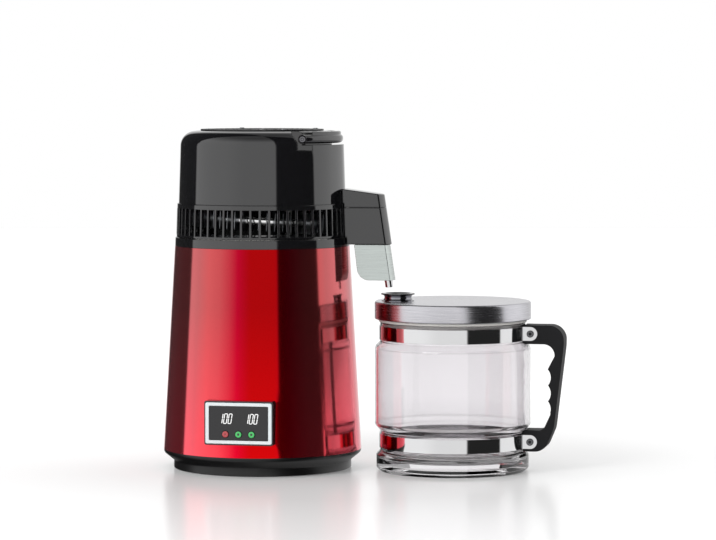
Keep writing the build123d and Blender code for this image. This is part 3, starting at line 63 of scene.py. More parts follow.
# The studio has white walls, a broad soft box in front and to the left, and two dark gaps that
# give gloss its upright dark stripes. The walls dim towards the ceiling and the ground, and glass
# takes less of them from the side, so that its edges are drawn dark.
WALLS = [
    (-180.0, 0.95),
    (-166.0, 0.75),
    (-163.0, 0.04),
    (-104.0, 0.04),
    (-102.0, 1.25),
    (-50.0, 1.25),
    (-24.0, 1.10),
    (20.0, 1.10),
    (21.5, 0.025),
    (77.0, 0.025),
    (79.0, 1.20),
    (115.0, 1.20),
    (150.0, 0.75),
    (180.0, 0.95),
]
CEILING_FROM = 0.58
CEILING_TO = 0.90
CEILING_SHARE = 0.30
GROUND_FROM = -0.13
GROUND_TO = -0.30
GROUND_SHARE = 0.5
BACKDROP_COS = 0.9
GLASS_SIDE_SHARE = 0.52


def colour(code):
    """Linear colour of an sRGB hex value."""
    parts = [int(code[i : i + 2], 16) / 255 for i in (1, 3, 5)]
    return [p / 12.92 if p <= 0.04045 else ((p + 0.055) / 1.055) ** 2.4 for p in parts] + [1.0]


def add(tree, kind, sockets=None, **settings):
    """Adds a node with its settings; a socket takes a value or another node's output."""
    node = tree.nodes.new(kind)
    for name, value in settings.items():
        setattr(node, name, value)
    for name, value in (sockets or {}).items():
        if isinstance(value, bpy.types.NodeSocket):
            tree.links.new(value, node.inputs[name])
        else:
            node.inputs[name].default_value = value
    return node


world = bpy.data.worlds.new("studio_walls")
world.use_nodes = True
scene.world = world
tree = world.node_tree
tree.nodes.clear()
way = add(tree, "ShaderNodeTexCoord").outputs["Generated"]
parts = add(tree, "ShaderNodeSeparateXYZ", {0: way})
forward = add(tree, "ShaderNodeMath", {0: parts.outputs["Y"], 1: -1.0}, operation="MULTIPLY")
turn = add(
    tree, "ShaderNodeMath", {0: parts.outputs["X"], 1: forward.outputs[0]}, operation="ARCTAN2"
)
share = add(
    tree,
    "ShaderNodeMapRange",
    {"Value": turn.outputs[0], "From Min": -math.pi, "From Max": math.pi},
)
ramp = add(tree, "ShaderNodeValToRGB", {0: share.outputs["Result"]})
while len(ramp.color_ramp.elements) < len(WALLS):
    ramp.color_ramp.elements.new(0.5)
for element, (degrees, level) in zip(ramp.color_ramp.elements, WALLS):
    element.position = (degrees + 180) / 360
    element.color = (level, level, level, 1)
dimmed = add(
    tree,
    "ShaderNodeMapRange",
    {
        "Value": parts.outputs["Z"],
        "From Min": CEILING_FROM,
        "From Max": CEILING_TO,
        "To Min": 1.0,
        "To Max": CEILING_SHARE,
    },
)
grounded = add(
    tree,
    "ShaderNodeMapRange",
    {
        "Value": parts.outputs["Z"],
        "From Min": GROUND_FROM,
        "From Max": GROUND_TO,
        "To Min": 1.0,
        "To Max": GROUND_SHARE,
    },
)
faded = add(
    tree,
    "ShaderNodeMath",
    {0: dimmed.outputs["Result"], 1: grounded.outputs["Result"]},
    operation="MULTIPLY",
)
walls = add(
    tree,
    "ShaderNodeVectorMath",
    {0: ramp.outputs["Color"], 1: faded.outputs[0]},
    operation="MULTIPLY",
)
path = add(tree, "ShaderNodeLightPath")
behind = add(
    tree,
    "ShaderNodeMath",
    {0: parts.outputs["Y"], 1: BACKDROP_COS},
    operation="GREATER_THAN",
)
through = add(
    tree,
    "ShaderNodeMath",
    {0: path.outputs["Is Transmission Ray"], 1: behind.outputs[0]},
    operation="MULTIPLY",
)
shown = add(
    tree,
    "ShaderNodeMath",
    {0: path.outputs["Is Camera Ray"], 1: through.outputs[0]},
    operation="MAXIMUM",
)
sideways = add(
    tree,
    "ShaderNodeMapRange",
    {"Value": path.outputs["Is Transmission Ray"], "To Min": 1.0, "To Max": GLASS_SIDE_SHARE},
)
seen = add(
    tree,
    "ShaderNodeVectorMath",
    {0: walls.outputs[0], 1: sideways.outputs["Result"]},
    operation="MULTIPLY",
)
level = add(
    tree,
    "ShaderNodeMix",
    {"Factor": shown.outputs[0], "A": seen.outputs[0], "B": (1, 1, 1, 1)},
    data_type="RGBA",
)
sky = add(tree, "ShaderNodeBackground", {"Color": level.outputs[2]})
add(tree, "ShaderNodeOutputWorld", {"Surface": sky.outputs[0]})


# Two soft lamps, one high on the left and one overhead, light what the walls leave dark. Gloss
# doesn't mirror them.
LAMPS = [
    ("key", (-1.2, -1.8, 1.7), (0.1, 0, 0.15), 1.2, 24),
    ("top", (0.2, 0.3, 2.2), (0.1, 0, 0.1), 1.6, 15),
]

for name, place, aim, size, power in LAMPS:
    lamp = bpy.data.objects.new(name, bpy.data.lights.new(name, "AREA"))
    lamp.data.size = size
    lamp.data.energy = power
    lamp.location = place
    lamp.rotation_euler = (Vector(aim) - Vector(place)).to_track_quat("-Z", "Y").to_euler()
    lamp.visible_glossy = False
    scene.collection.objects.link(lamp)


# The table is a matt white board with a faint gloss. To the camera it glows, so that its far part
# is as white as the wall, and near the object it glows less, which paints shade round the object
# and deepens its shadows. Gloss mirrors the walls instead of it.
TABLE_HALF = 6.0
TABLE_MIDDLE = (0.1, -0.05, 0)
PAINTED_SHADE_NEAR = 0.25
PAINTED_SHADE_FAR = 0.9
SHADED_GLOW_NEAR = 0.14
GLOW_FAR = 0.38


def material(name, shader):
    """New material whose shader function gets the empty tree and returns its last socket."""
    made = bpy.data.materials.new(name)
    made.use_nodes = True
    tree = made.node_tree
    tree.nodes.clear()
    add(tree, "ShaderNodeOutputMaterial", {"Surface": shader(tree)})
    return made


def table_paint(tree):
    """Matt white paint, lifted to white for the camera and behind glass, and lifted less near the
    object as painted shade.
    """
    path = add(tree, "ShaderNodeLightPath")
    board = add(
        tree,
        "ShaderNodeBsdfPrincipled",
        {"Base Color": colour("#eeeeee"), "Roughness": 0.22, "Specular IOR Level": 0.35},
    )
    place = add(tree, "ShaderNodeTexCoord").outputs["Object"]
    away = add(tree, "ShaderNodeVectorMath", {0: place, 1: TABLE_MIDDLE}, operation="DISTANCE")
    # Painted shade: the glow is weaker near the object, so the floor round it is darker.
    painted_shade_glow = add(
        tree,
        "ShaderNodeMapRange",
        {
            "Value": away.outputs["Value"],
            "From Min": PAINTED_SHADE_NEAR,
            "From Max": PAINTED_SHADE_FAR,
            "To Min": SHADED_GLOW_NEAR,
            "To Max": GLOW_FAR,
        },
    )
    glow = add(
        tree, "ShaderNodeEmission", {"Color": (1, 1, 1, 1), "Strength": painted_shade_glow.outputs["Result"]}
    )
    lit = add(tree, "ShaderNodeAddShader", {0: board.outputs[0], 1: glow.outputs[0]})
    shown = add(
        tree,
        "ShaderNodeMath",
        {0: path.outputs["Is Camera Ray"], 1: path.outputs["Is Transmission Ray"]},
        operation="MAXIMUM",
    )
    return add(
        tree, "ShaderNodeMixShader", {0: shown.outputs[0], 1: board.outputs[0], 2: lit.outputs[0]}
    ).outputs[0]


table = bpy.data.objects.new("table", bpy.data.meshes.new("table"))
corners = [(-TABLE_HALF, -TABLE_HALF, 0), (TABLE_HALF, -TABLE_HALF, 0)]
corners += [(TABLE_HALF, TABLE_HALF, 0), (-TABLE_HALF, TABLE_HALF, 0)]
table.data.from_pydata(corners, [], [(0, 1, 2, 3)])
table.data.materials.append(material("white_table", table_paint))
scene.collection.objects.link(table)
table.visible_glossy = False


# The foot pad is a black rubber disc glued under the base, so that the boiler doesn't slide.
# Rubber gives a soft dark surface with hardly any shine.
CREASE = 32.0
SAME_POINT = 2e-6
FLAT_WITHIN = 0.4
EDGE_ABOVE = 40.0
GRAIN_SPREAD = 0.2


def joined_tree():
    """Geometry Nodes tree that joins loose triangles and smooths all but sharp edges."""
    tree = bpy.data.node_groups.new("joined", "GeometryNodeTree")
    tree.interface.new_socket("Geometry", in_out="INPUT", socket_type="NodeSocketGeometry")
    crease = tree.interface.new_socket("Crease", in_out="INPUT", socket_type="NodeSocketFloat")
    crease.default_value = math.radians(CREASE)
    tree.interface.new_socket("Geometry", in_out="OUTPUT", socket_type="NodeSocketGeometry")
    given = add(tree, "NodeGroupInput")
    whole = add(
        tree,
        "GeometryNodeMergeByDistance",
        {"Geometry": given.outputs["Geometry"], "Distance": SAME_POINT},
    )
    smooth = add(tree, "GeometryNodeSetShadeSmooth", {"Geometry": whole.outputs[0]})
    angle = add(tree, "GeometryNodeInputMeshEdgeAngle")
    sharp = add(
        tree,
        "FunctionNodeCompare",
        {"A": angle.outputs["Unsigned Angle"], "B": given.outputs["Crease"]},
        operation="GREATER_THAN",
    )
    edges = add(
        tree,
        "GeometryNodeSetShadeSmooth",
        {"Geometry": smooth.outputs[0], "Selection": sharp.outputs[0], "Shade Smooth": False},
        domain="EDGE",
    )
    add(tree, "NodeGroupOutput", {"Geometry": edges.outputs[0]})
    return tree


joined = joined_tree()


def dress(names, finish, edge_mm=0.0):
    """Gives CAD nodes a material, smooth shading and, where asked, broken edges."""
    for name in names:
        node = nodes[name]
        node.data.materials.clear()
        node.data.materials.append(finish)
        node.modifiers.new("joined", "NODES").node_group = joined
        if edge_mm:
            flat = node.modifiers.new("flat_faces", "DECIMATE")
            flat.decimate_type = "DISSOLVE"
            flat.angle_limit = math.radians(FLAT_WITHIN)
            broken = node.modifiers.new("broken_edges", "BEVEL")
            broken.width = edge_mm / 1000
            broken.segments = 2
            broken.limit_method = "ANGLE"
            broken.angle_limit = math.radians(EDGE_ABOVE)
            broken.harden_normals = True


def relief(tree, height, depth_mm, edge_mm):
    """Surface direction over a fine relief, which turns at an edge as if it were rounded."""
    edge = add(tree, "ShaderNodeBevel", {"Radius": edge_mm * 0.001}, samples=8)
    return add(
        tree,
        "ShaderNodeBump",
        {"Height": height, "Distance": depth_mm * 0.001, "Normal": edge.outputs[0]},
    ).outputs[0]


def moulded(tint, rough, grain_mm, depth_mm, level=0.5, edge_mm=0.15):
    """Moulded plastic or rubber: one tint with the fine unevenness that the mould leaves."""

    def shader(tree):
        place = add(tree, "ShaderNodeTexCoord").outputs["Object"]
        grain = add(
            tree, "ShaderNodeTexNoise", {"Vector": place, "Scale": 1000 / grain_mm, "Detail": 3.0}
        )
        surface = relief(tree, grain.outputs["Fac"], depth_mm, edge_mm)
        shade = add(
            tree,
            "ShaderNodeMapRange",
            {
                "Value": grain.outputs["Fac"],
                "To Min": rough * (1 - GRAIN_SPREAD),
                "To Max": rough * (1 + GRAIN_SPREAD),
            },
        )
        return add(
            tree,
            "ShaderNodeBsdfPrincipled",
            {
                "Base Color": colour(tint),
                "Roughness": shade.outputs["Result"],
                "Specular IOR Level": level,
                "Normal": surface,
            },
        ).outputs[0]

    return shader


# Moulded rubber: near black, with a fine grain and no clear reflection.
black_rubber = material("black_rubber", moulded("#141414", 0.75, 0.6, 0.02, level=0.3))
dress(["foot_pad"], black_rubber)


# The base is a moulded tray of black ABS. Its flared shoulder carries the painted shell, and
# three screws from below reach the tank's aluminium legs.
SCRATCH_SPREAD = 0.25
NOISE_LOW = 0.3
NOISE_HIGH = 0.7

# Satin ABS: an even dark surface whose reflections are soft and dim.
satin_black = material("satin_black_abs", moulded("#0f0f10", 0.34, 0.5, 0.004))
dress(["base_tray"], satin_black)


def scratched(tint, rough, streak_mm, depth_mm, way, edge_mm=0.15):
    """Bare metal with fine scratches that run long along one way."""

    def shader(tree):
        place = add(tree, "ShaderNodeTexCoord").outputs["Object"]
        stretch = add(tree, "ShaderNodeMapping", {"Vector": place, "Scale": way})
        streaks = add(
            tree,
            "ShaderNodeTexNoise",
            {
                "Vector": stretch.outputs[0],
                "Scale": 1000 / streak_mm,
                "Detail": 4.0,
                "Roughness": 0.6,
            },
        )
        surface = relief(tree, streaks.outputs["Fac"], depth_mm, edge_mm)
        shade = add(
            tree,
            "ShaderNodeMapRange",
            {
                "Value": streaks.outputs["Fac"],
                "From Min": NOISE_LOW,
                "From Max": NOISE_HIGH,
                "To Min": rough * (1 - SCRATCH_SPREAD),
                "To Max": rough * (1 + SCRATCH_SPREAD),
            },
        )
        return add(
            tree,
            "ShaderNodeBsdfPrincipled",
            {
                "Base Color": colour(tint),
                "Metallic": 1.0,
                "Roughness": shade.outputs["Result"],
                "Normal": surface,
            },
        ).outputs[0]

    return shader


# Zinc-plated steel: a greyish shine with faint rolling marks.
zinc_steel = material("zinc_plated_steel", scratched("#b4b6b8", 0.32, 0.9, 0.002, (1, 0.1, 0.1)))
# Turned aluminium: pale and softly bright, with rings left by the cutter.
turned_aluminium = material(
    "turned_aluminium", scratched("#d9dadd", 0.3, 0.4, 0.002, (0.1, 0.1, 1))
)
dress(["base_screws"], zinc_steel)
dress(["tank_legs"], turned_aluminium)


# The shell is a cone rolled from sheet steel and lacquered: polished aluminium flakes in a clear
# red glaze. It mirrors the room in red, deep seen straight on and rosier at a slant. Towards the
# foot the red is painted brighter, as painted light that the floor would throw up on it.
FLAKE_MM = 0.8
FLAKE_DEPTH_MM = 0.01
FLAKE_TILT = 0.12
FLAKE_SHARE = 0.94
FLAKE_LIGHT = 1.04
FLAKE_DARK = 0.92
LACQUER_FLOP = [
    (0.010, "#a60004"),
    (0.040, "#b40228"),
    (0.070, "#b8303c"),
    (0.120, "#bc484c"),
    (0.200, "#c45254"),
    (0.300, "#b85c5e"),
    (0.550, "#d46a6e"),
    (1.000, "#f48c92"),
]
PAINTED_LIGHT_FOOT = 0.010
PAINTED_LIGHT_TOP = 0.190
FOOT_PAINTED_LIGHT = (1.75, 0.85, 1.1)


def candy_lacquer(tree):
    """Metallic red whose tint follows the slant and each flake a little, with painted light that
    brightens it towards the foot.
    """
    place = add(tree, "ShaderNodeTexCoord").outputs["Object"]
    facing = add(tree, "ShaderNodeLayerWeight", {"Blend": 0.5}).outputs["Facing"]
    flop = add(tree, "ShaderNodeValToRGB", {0: facing})
    while len(flop.color_ramp.elements) < len(LACQUER_FLOP):
        flop.color_ramp.elements.new(0.5)
    for element, (slant, tint) in zip(flop.color_ramp.elements, LACQUER_FLOP):
        element.position = slant
        element.color = colour(tint)
    height = add(tree, "ShaderNodeSeparateXYZ", {0: place})
    # Painted light: the red is brightened lower on the shell, towards the foot.
    painted_light_rise = add(
        tree,
        "ShaderNodeMapRange",
        {"Value": height.outputs["Z"], "From Min": PAINTED_LIGHT_FOOT, "From Max": PAINTED_LIGHT_TOP},
    )
    painted_light_gain = add(
        tree,
        "ShaderNodeMix",
        {"Factor": painted_light_rise.outputs["Result"], "A": FOOT_PAINTED_LIGHT, "B": (1, 1, 1)},
        data_type="VECTOR",
    )
    flakes = add(tree, "ShaderNodeTexVoronoi", {"Vector": place, "Scale": 1000 / FLAKE_MM})
    dim = add(
        tree,
        "ShaderNodeMapRange",
        {"Value": flakes.outputs["Distance"], "To Min": FLAKE_LIGHT, "To Max": FLAKE_DARK},
    )
    flop_with_painted_light = add(
        tree,
        "ShaderNodeVectorMath",
        {0: flop.outputs["Color"], 1: painted_light_gain.outputs[1]},
        operation="MULTIPLY",
    )
    tint = add(
        tree,
        "ShaderNodeVectorMath",
        {0: flop_with_painted_light.outputs[0], 1: dim.outputs["Result"]},
        operation="MULTIPLY",
    )
    tilt = add(
        tree,
        "ShaderNodeBump",
        {
            "Height": flakes.outputs["Distance"],
            "Distance": FLAKE_DEPTH_MM * 0.001,
            "Strength": FLAKE_TILT,
        },
    )
    return add(
        tree,
        "ShaderNodeBsdfPrincipled",
        {
            "Base Color": tint.outputs[0],
            "Metallic": FLAKE_SHARE,
            "Roughness": 0.1,
            "Normal": tilt.outputs[0],
        },
    ).outputs[0]


# Metallic lacquer: a clear red mirror, faintly broken by flakes that are drawn coarser than real,
# so that they show. The share that isn't flakes is plain red paint.
red_lacquer = material("red_metallic_lacquer", candy_lacquer)
dress(["body_shell"], red_lacquer)


# The collar is a moulded ring of polished ABS pushed into the shell's top. The boiler tank is
# deep drawn from stainless sheet and hangs on the collar by its flange.
# Drawn stainless: satin, with upright draw marks on the wall.
drawn_stainless = material(
    "drawn_stainless", scratched("#c9c8c4", 0.24, 0.5, 0.002, (1, 1, 0.04))
)
# Polished ABS: a clear hard reflection that only a slight waviness of the mould disturbs.
gloss_black = material(
    "gloss_black_abs", moulded("#131315", 0.045, 14.0, 0.006, level=0.92, edge_mm=0.9)
)
dress(["collar"], gloss_black)
dress(["tank"], drawn_stainless)


# The heater is a cast aluminium plate held to the tank's bottom by three studs, with a tubular
# element round it and an overheat switch in the middle.
# Cast aluminium: pale grey and matt, with the sand's grain.
cast_aluminium = material("cast_aluminium", scratched("#c2c3c4", 0.45, 0.7, 0.012, (1, 1, 1)))
# Element sheath: steel that heat has turned brownish grey.
heated_steel = material("heated_steel_sheath", scratched("#8d8378", 0.4, 0.6, 0.002, (1, 1, 1)))
# Phenolic plastic of the switch: dark brown and dull.
brown_phenolic = material("brown_phenolic", moulded("#2a1a12", 0.45, 0.5, 0.01))
dress(["heater_plate"], cast_aluminium)
dress(["heating_element"], heated_steel)
dress(["heater_fixings"], zinc_steel)
dress(["thermal_cutout"], brown_phenolic, edge_mm=0.2)


# The mains inlet at the back is a moulded block with three flat brass contacts, screwed to a
# bracket inside the shell. The small socket above it feeds the fan through a loose lead.
# Spark-eroded ABS: black, with an even fine texture that breaks every reflection.
textured_black = material("textured_black_abs", moulded("#161618", 0.42, 0.35, 0.012))
# Nickel-plated brass: warm grey and bright.
plated_brass = material("nickel_plated_brass", scratched("#cfc4a6", 0.22, 0.5, 0.001, (1, 0.1, 1)))
dress(["power_inlet", "fan_outlet", "fan_inlet"], textured_black, edge_mm=0.3)
dress(["inlet_pins"], plated_brass, edge_mm=0.15)
dress(["inlet_bracket", "inlet_screws"], zinc_steel)


# The display sits in a polished black box let into the shell. A silver frame clips round a
# smoked window, and the control board hangs behind it.
# Sprayed silver: almost white in the light, with no clear reflection.
silver_paint = material(
    "sprayed_silver", moulded("#eef5f7", 0.3, 0.3, 0.002, level=0.6, edge_mm=0.3)
)
# Smoked acrylic: dark grey, flat and glossy.
smoked_acrylic = material("smoked_acrylic", moulded("#1f1f21", 0.06, 30.0, 0.0005))
# Circuit board: green solder mask over fibre.
solder_mask = material("green_solder_mask", moulded("#0f4d26", 0.35, 0.8, 0.002))
dress(["display_housing"], gloss_black, edge_mm=0.4)
dress(["display_frame"], silver_paint, edge_mm=0.25)
dress(["display_window"], smoked_acrylic, edge_mm=0.15)
dress(["control_board"], solder_mask)
dress(["tact_switches"], textured_black)


# The two numbers on the window are seven-segment digits. Each bar is a clear moulding that a
# white diode on the board lights from behind.
DIGIT_GLOW = 1.15


def white_light(tree):
    """Diffused white light of a digit's bar."""
    return add(
        tree, "ShaderNodeEmission", {"Color": colour("#ffffff"), "Strength": DIGIT_GLOW}
    ).outputs[0]


digit_light = material("digit_light", white_light)
dress(["display_digits"], digit_light)


# Three push buttons come through the window. Each is a black moulded cap with a clear ring that
# a diode lights from behind: dim red on the first, green on the other two.
PANEL_TURN = -101.7
PANEL_DISTANCE = 117.5
PANEL_HEIGHT = 62.0
BUTTON_PITCH = 15.0
BUTTON_DROP = 12.4
BUTTON_FACE = 0.3
LENS_SINK = 0.02
LENS_RADIUS = 3.5
LENS_RIM = 0.1
LENS_CROWN = [(3.2, 0.28), (2.4, 0.42)]
LENS_LIP = (0.3, 0.36)
LENS_HOLE_RIM = 0.2
RING_SIDES = 48


def revolve_tree():
    """Geometry Nodes tree that turns an outline, a row of points, about the upright axis."""
    tree = bpy.data.node_groups.new("revolve", "GeometryNodeTree")
    tree.interface.new_socket("Outline", in_out="INPUT", socket_type="NodeSocketGeometry")
    tree.interface.new_socket("Sides", in_out="INPUT", socket_type="NodeSocketInt")
    tree.interface.new_socket("Finish", in_out="INPUT", socket_type="NodeSocketMaterial")
    tree.interface.new_socket("Geometry", in_out="OUTPUT", socket_type="NodeSocketGeometry")
    given = add(tree, "NodeGroupInput")
    count = add(
        tree, "GeometryNodeAttributeDomainSize", {"Geometry": given.outputs["Outline"]}
    )
    columns = add(tree, "ShaderNodeMath", {0: given.outputs["Sides"], 1: 1.0}, operation="ADD")
    grid = add(
        tree,
        "GeometryNodeMeshGrid",
        {"Vertices X": count.outputs["Point Count"], "Vertices Y": columns.outputs[0]},
    )
    index = add(tree, "GeometryNodeInputIndex")
    pair = {0: index.outputs[0], 1: columns.outputs[0]}
    share = add(tree, "ShaderNodeMath", pair, operation="DIVIDE")
    row = add(tree, "ShaderNodeMath", {0: share.outputs[0]}, operation="FLOOR")
    column = add(tree, "ShaderNodeMath", pair, operation="MODULO")
    part_turn = add(
        tree,
        "ShaderNodeMath",
        {0: column.outputs[0], 1: given.outputs["Sides"]},
        operation="DIVIDE",
    )
    turn = add(
        tree, "ShaderNodeMath", {0: part_turn.outputs[0], 1: math.tau}, operation="MULTIPLY"
    )
    traced = add(
        tree,
        "GeometryNodeSampleIndex",
        {
            "Geometry": given.outputs["Outline"],
            "Value": add(tree, "GeometryNodeInputPosition").outputs[0],
            "Index": row.outputs[0],
        },
        data_type="FLOAT_VECTOR",
    )
    spoke = add(tree, "ShaderNodeSeparateXYZ", {0: traced.outputs["Value"]})
    across = add(tree, "ShaderNodeMath", {0: turn.outputs[0]}, operation="COSINE")
    along = add(tree, "ShaderNodeMath", {0: turn.outputs[0]}, operation="SINE")
    radius = spoke.outputs["X"]
    x = add(tree, "ShaderNodeMath", {0: radius, 1: across.outputs[0]}, operation="MULTIPLY")
    y = add(tree, "ShaderNodeMath", {0: radius, 1: along.outputs[0]}, operation="MULTIPLY")
    point = add(
        tree, "ShaderNodeCombineXYZ", {0: x.outputs[0], 1: y.outputs[0], 2: spoke.outputs["Z"]}
    )
    shaped = add(
        tree,
        "GeometryNodeSetPosition",
        {"Geometry": grid.outputs["Mesh"], "Position": point.outputs[0]},
    )
    closed = add(
        tree,
        "GeometryNodeMergeByDistance",
        {"Geometry": shaped.outputs[0], "Distance": SAME_POINT},
    )
    smooth = add(tree, "GeometryNodeSetShadeSmooth", {"Geometry": closed.outputs[0]})
    real = add(tree, "GeometryNodeRealizeInstances", {"Geometry": smooth.outputs[0]})
    coated = add(
        tree,
        "GeometryNodeSetMaterial",
        {"Geometry": real.outputs[0], "Material": given.outputs["Finish"]},
    )
    add(tree, "NodeGroupOutput", {"Geometry": coated.outputs[0]})
    return tree


revolve = revolve_tree()


def revolved(name, outline, finish, sides, place):
    """Piece turned from an outline of radius and height in millimetres, then set in its place."""
    chain = bpy.data.meshes.new(name + "_outline")
    chain.from_pydata([(r / 1000, 0, z / 1000) for r, z in outline], [], [])
    source = bpy.data.objects.new(name + "_outline", chain)
    scene.collection.objects.link(source)
    turning = source.modifiers.new("revolve", "NODES")
    turning.node_group = revolve
    sockets = {item.name: item.identifier for item in revolve.interface.items_tree}
    turning[sockets["Sides"]] = sides
    turning[sockets["Finish"]] = finish
    solid = bpy.data.meshes.new_from_object(
        source.evaluated_get(bpy.context.evaluated_depsgraph_get())
    )
    bpy.data.objects.remove(source)
    solid.transform(place)
    piece = bpy.data.objects.new(name, solid)
    scene.collection.objects.link(piece)
    return piece


def upright(degrees, across, up, out, origin=(0, 0, 0)):
    """Place on an upright face that looks out at an angle, in millimetres from an origin."""
    turn = math.radians(degrees)
    right = (-math.sin(turn), math.cos(turn), 0)
    outward = (math.cos(turn), math.sin(turn), 0)
    ways = Matrix((right, (0, 0, 1), outward)).transposed()
    place = ways.to_4x4()
    place.translation = (Vector(origin) + ways @ Vector((across, up, out))) / 1000
    return place


def lit_lens(tint, glow):
    """Clear ring over a diode: its colour glows a little by itself."""

    def shader(tree):
        return add(
            tree,
            "ShaderNodeBsdfPrincipled",
            {
                "Base Color": colour(tint),
                "Roughness": 0.12,
                "Emission Color": colour(tint),
                "Emission Strength": glow,
                "Coat Weight": 0.6,
            },
        ).outputs[0]

    return shader


red_lens = material("red_lit_lens", lit_lens("#a83c40", 0.25))
green_lens = material("green_lit_lens", lit_lens("#3fae5c", 0.35))
# The caps behind the rings: polished black, so the ring's middle stays dark.
dress(["button_power", "button_start", "button_set"], gloss_black)
BUTTONS = [
    ("button_power", "power_key", "red_button", -1, red_lens, 0.5),
    ("button_start", "start_key", "green_button", 0, green_lens, 1.3),
    ("button_set", "set_key", "green_button", 1, green_lens, 1.3),
]
for name, body, slot, step, finish, hole in BUTTONS:
    ring = [(hole, 0.0), (LENS_RADIUS, 0.0), (LENS_RADIUS, LENS_RIM)] + LENS_CROWN
    ring += [(hole + LENS_LIP[0], LENS_LIP[1]), (hole, LENS_HOLE_RIM), (hole, 0.0)]
    lens = revolved(
        name + "_lens",
        [(radius, height + BUTTON_FACE - LENS_SINK) for radius, height in ring],
        finish,
        RING_SIDES,
        upright(PANEL_TURN, step * BUTTON_PITCH, PANEL_HEIGHT - BUTTON_DROP, PANEL_DISTANCE),
    )
    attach(lens, body)


# The head closes the boiler from above. Its underside is a stainless plate with a silicone
# gasket, and the steam pipe comes through a grommet in it.
# Silicone: milky and even, with a soft dull shine.
milky_silicone = material("milky_silicone", moulded("#eceae6", 0.4, 1.2, 0.01, level=0.4))
dress(["base_plate"], drawn_stainless)
dress(["head_gasket", "steam_seal", "outlet_seal"], milky_silicone)


# The vent ring and the dome are moulded in polished black ABS. The ring's upright ribs let the
# fan's air out, and the dome carries the grille and the bail.
dress(["vent_ring", "dome"], gloss_black)


# The fan guard is a disc with rings of slots, moulded in one piece of textured black ABS. Four
# small zinc-plated screws hold it in the dome's top.
dress(["top_grille"], textured_black)
dress(["grille_screws"], zinc_steel)


# The bail is a moulded carrying handle that turns on two shoulder screws in the dome's sides.
# Blackened steel: dark, with a dull shine on the screw heads.
black_steel = material(
    "blackened_steel", scratched("#6c6c6f", 0.2, 0.5, 0.001, (1, 1, 1), edge_mm=0.9)
)
dress(["bail"], gloss_black)
dress(["bail_screws"], black_steel)


# The condenser is one stainless tube bent into two turns, with thin aluminium fins pressed on
# it. Three strips hold it up from the plate.
# Bright-annealed tube: a clear mirror with faint marks along it.
bright_tube = material("bright_annealed_tube", scratched("#e2e2e2", 0.08, 0.8, 0.0005, (1, 1, 1)))
# Fin stock: thin rolled aluminium, dull and bluish in the shade.
fin_stock = material("rolled_fin_stock", scratched("#9a9ca0", 0.35, 0.4, 0.001, (1, 1, 0.1)))
dress(["condenser_coil"], bright_tube)
dress(["condenser_fins"], fin_stock)
dress(["coil_posts"], drawn_stainless)


# The fan blows down from the grille. Its motor stands on a closed black drum that turns the air
# outwards past the coil and hides what is behind the ribs.
# Matt black sheet: takes nearly all the light that falls between the ribs.
matt_black = material("matt_black_coating", moulded("#0b0b0c", 0.7, 0.5, 0.01, level=0.3))
dress(["air_guide"], matt_black)
dress(["fan_motor", "fan"], textured_black)
dress(["fan_shaft"], zinc_steel)


# The spout is a hollow arm of polished ABS under a lift-off cap, fixed to the ring by two
# screws from inside. All its outer edges are rounded.
# The same polished ABS, whose broader rounded edges draw fine dark and light lines.
soft_edged_black = material(
    "gloss_black_abs_rounded", moulded("#131315", 0.045, 14.0, 0.006, level=0.92, edge_mm=2.2)
)
dress(["spout_housing", "spout_cap"], soft_edged_black, edge_mm=0.9)
dress(["spout_screws"], zinc_steel)


# The filter cup is folded and welded from brushed stainless sheet and holds a sachet of
# charcoal. Its short drip tube ends over the jug's port.
BRUSH_MM = 1.1
BRUSH_SPREAD = 0.2
BRUSH_DARK = 0.84
BRUSH_LIGHT = 1.1
FOLD_MM = 0.8
FACES_UP = 0.7


def brushed(tint, rough, depth_mm, way, top_way):
    """Brushed stainless: long hair-fine lines on the sides, and their own way on top."""

    def shader(tree):
        place = add(tree, "ShaderNodeTexCoord").outputs["Object"]
        side = add(tree, "ShaderNodeMapping", {"Vector": place, "Scale": way})
        top = add(tree, "ShaderNodeMapping", {"Vector": place, "Scale": top_way})
        normal = add(tree, "ShaderNodeNewGeometry").outputs["Normal"]
        facing = add(tree, "ShaderNodeSeparateXYZ", {0: normal})
        up = add(
            tree, "ShaderNodeMath", {0: facing.outputs["Z"], 1: FACES_UP}, operation="GREATER_THAN"
        )
        chosen = add(
            tree,
            "ShaderNodeMix",
            {"Factor": up.outputs[0], "A": side.outputs[0], "B": top.outputs[0]},
            data_type="VECTOR",
        )
        lines = add(
            tree,
            "ShaderNodeTexNoise",
            {
                "Vector": chosen.outputs[1],
                "Scale": 1000 / BRUSH_MM,
                "Detail": 3.0,
                "Roughness": 0.7,
            },
        )
        surface = relief(tree, lines.outputs["Fac"], depth_mm, FOLD_MM)
        shade = add(
            tree,
            "ShaderNodeMapRange",
            {
                "Value": lines.outputs["Fac"],
                "From Min": NOISE_LOW,
                "From Max": NOISE_HIGH,
                "To Min": rough * (1 - BRUSH_SPREAD),
                "To Max": rough * (1 + BRUSH_SPREAD),
            },
        )
        shine = add(
            tree,
            "ShaderNodeMapRange",
            {
                "Value": lines.outputs["Fac"],
                "From Min": NOISE_LOW,
                "From Max": NOISE_HIGH,
                "To Min": BRUSH_DARK,
                "To Max": BRUSH_LIGHT,
            },
        )
        steel = add(
            tree,
            "ShaderNodeVectorMath",
            {0: colour(tint)[:3], 1: shine.outputs["Result"]},
            operation="MULTIPLY",
        )
        return add(
            tree,
            "ShaderNodeBsdfPrincipled",
            {
                "Base Color": steel.outputs[0],
                "Metallic": 1.0,
                "Roughness": shade.outputs["Result"],
                "Normal": surface,
            },
        ).outputs[0]

    return shader


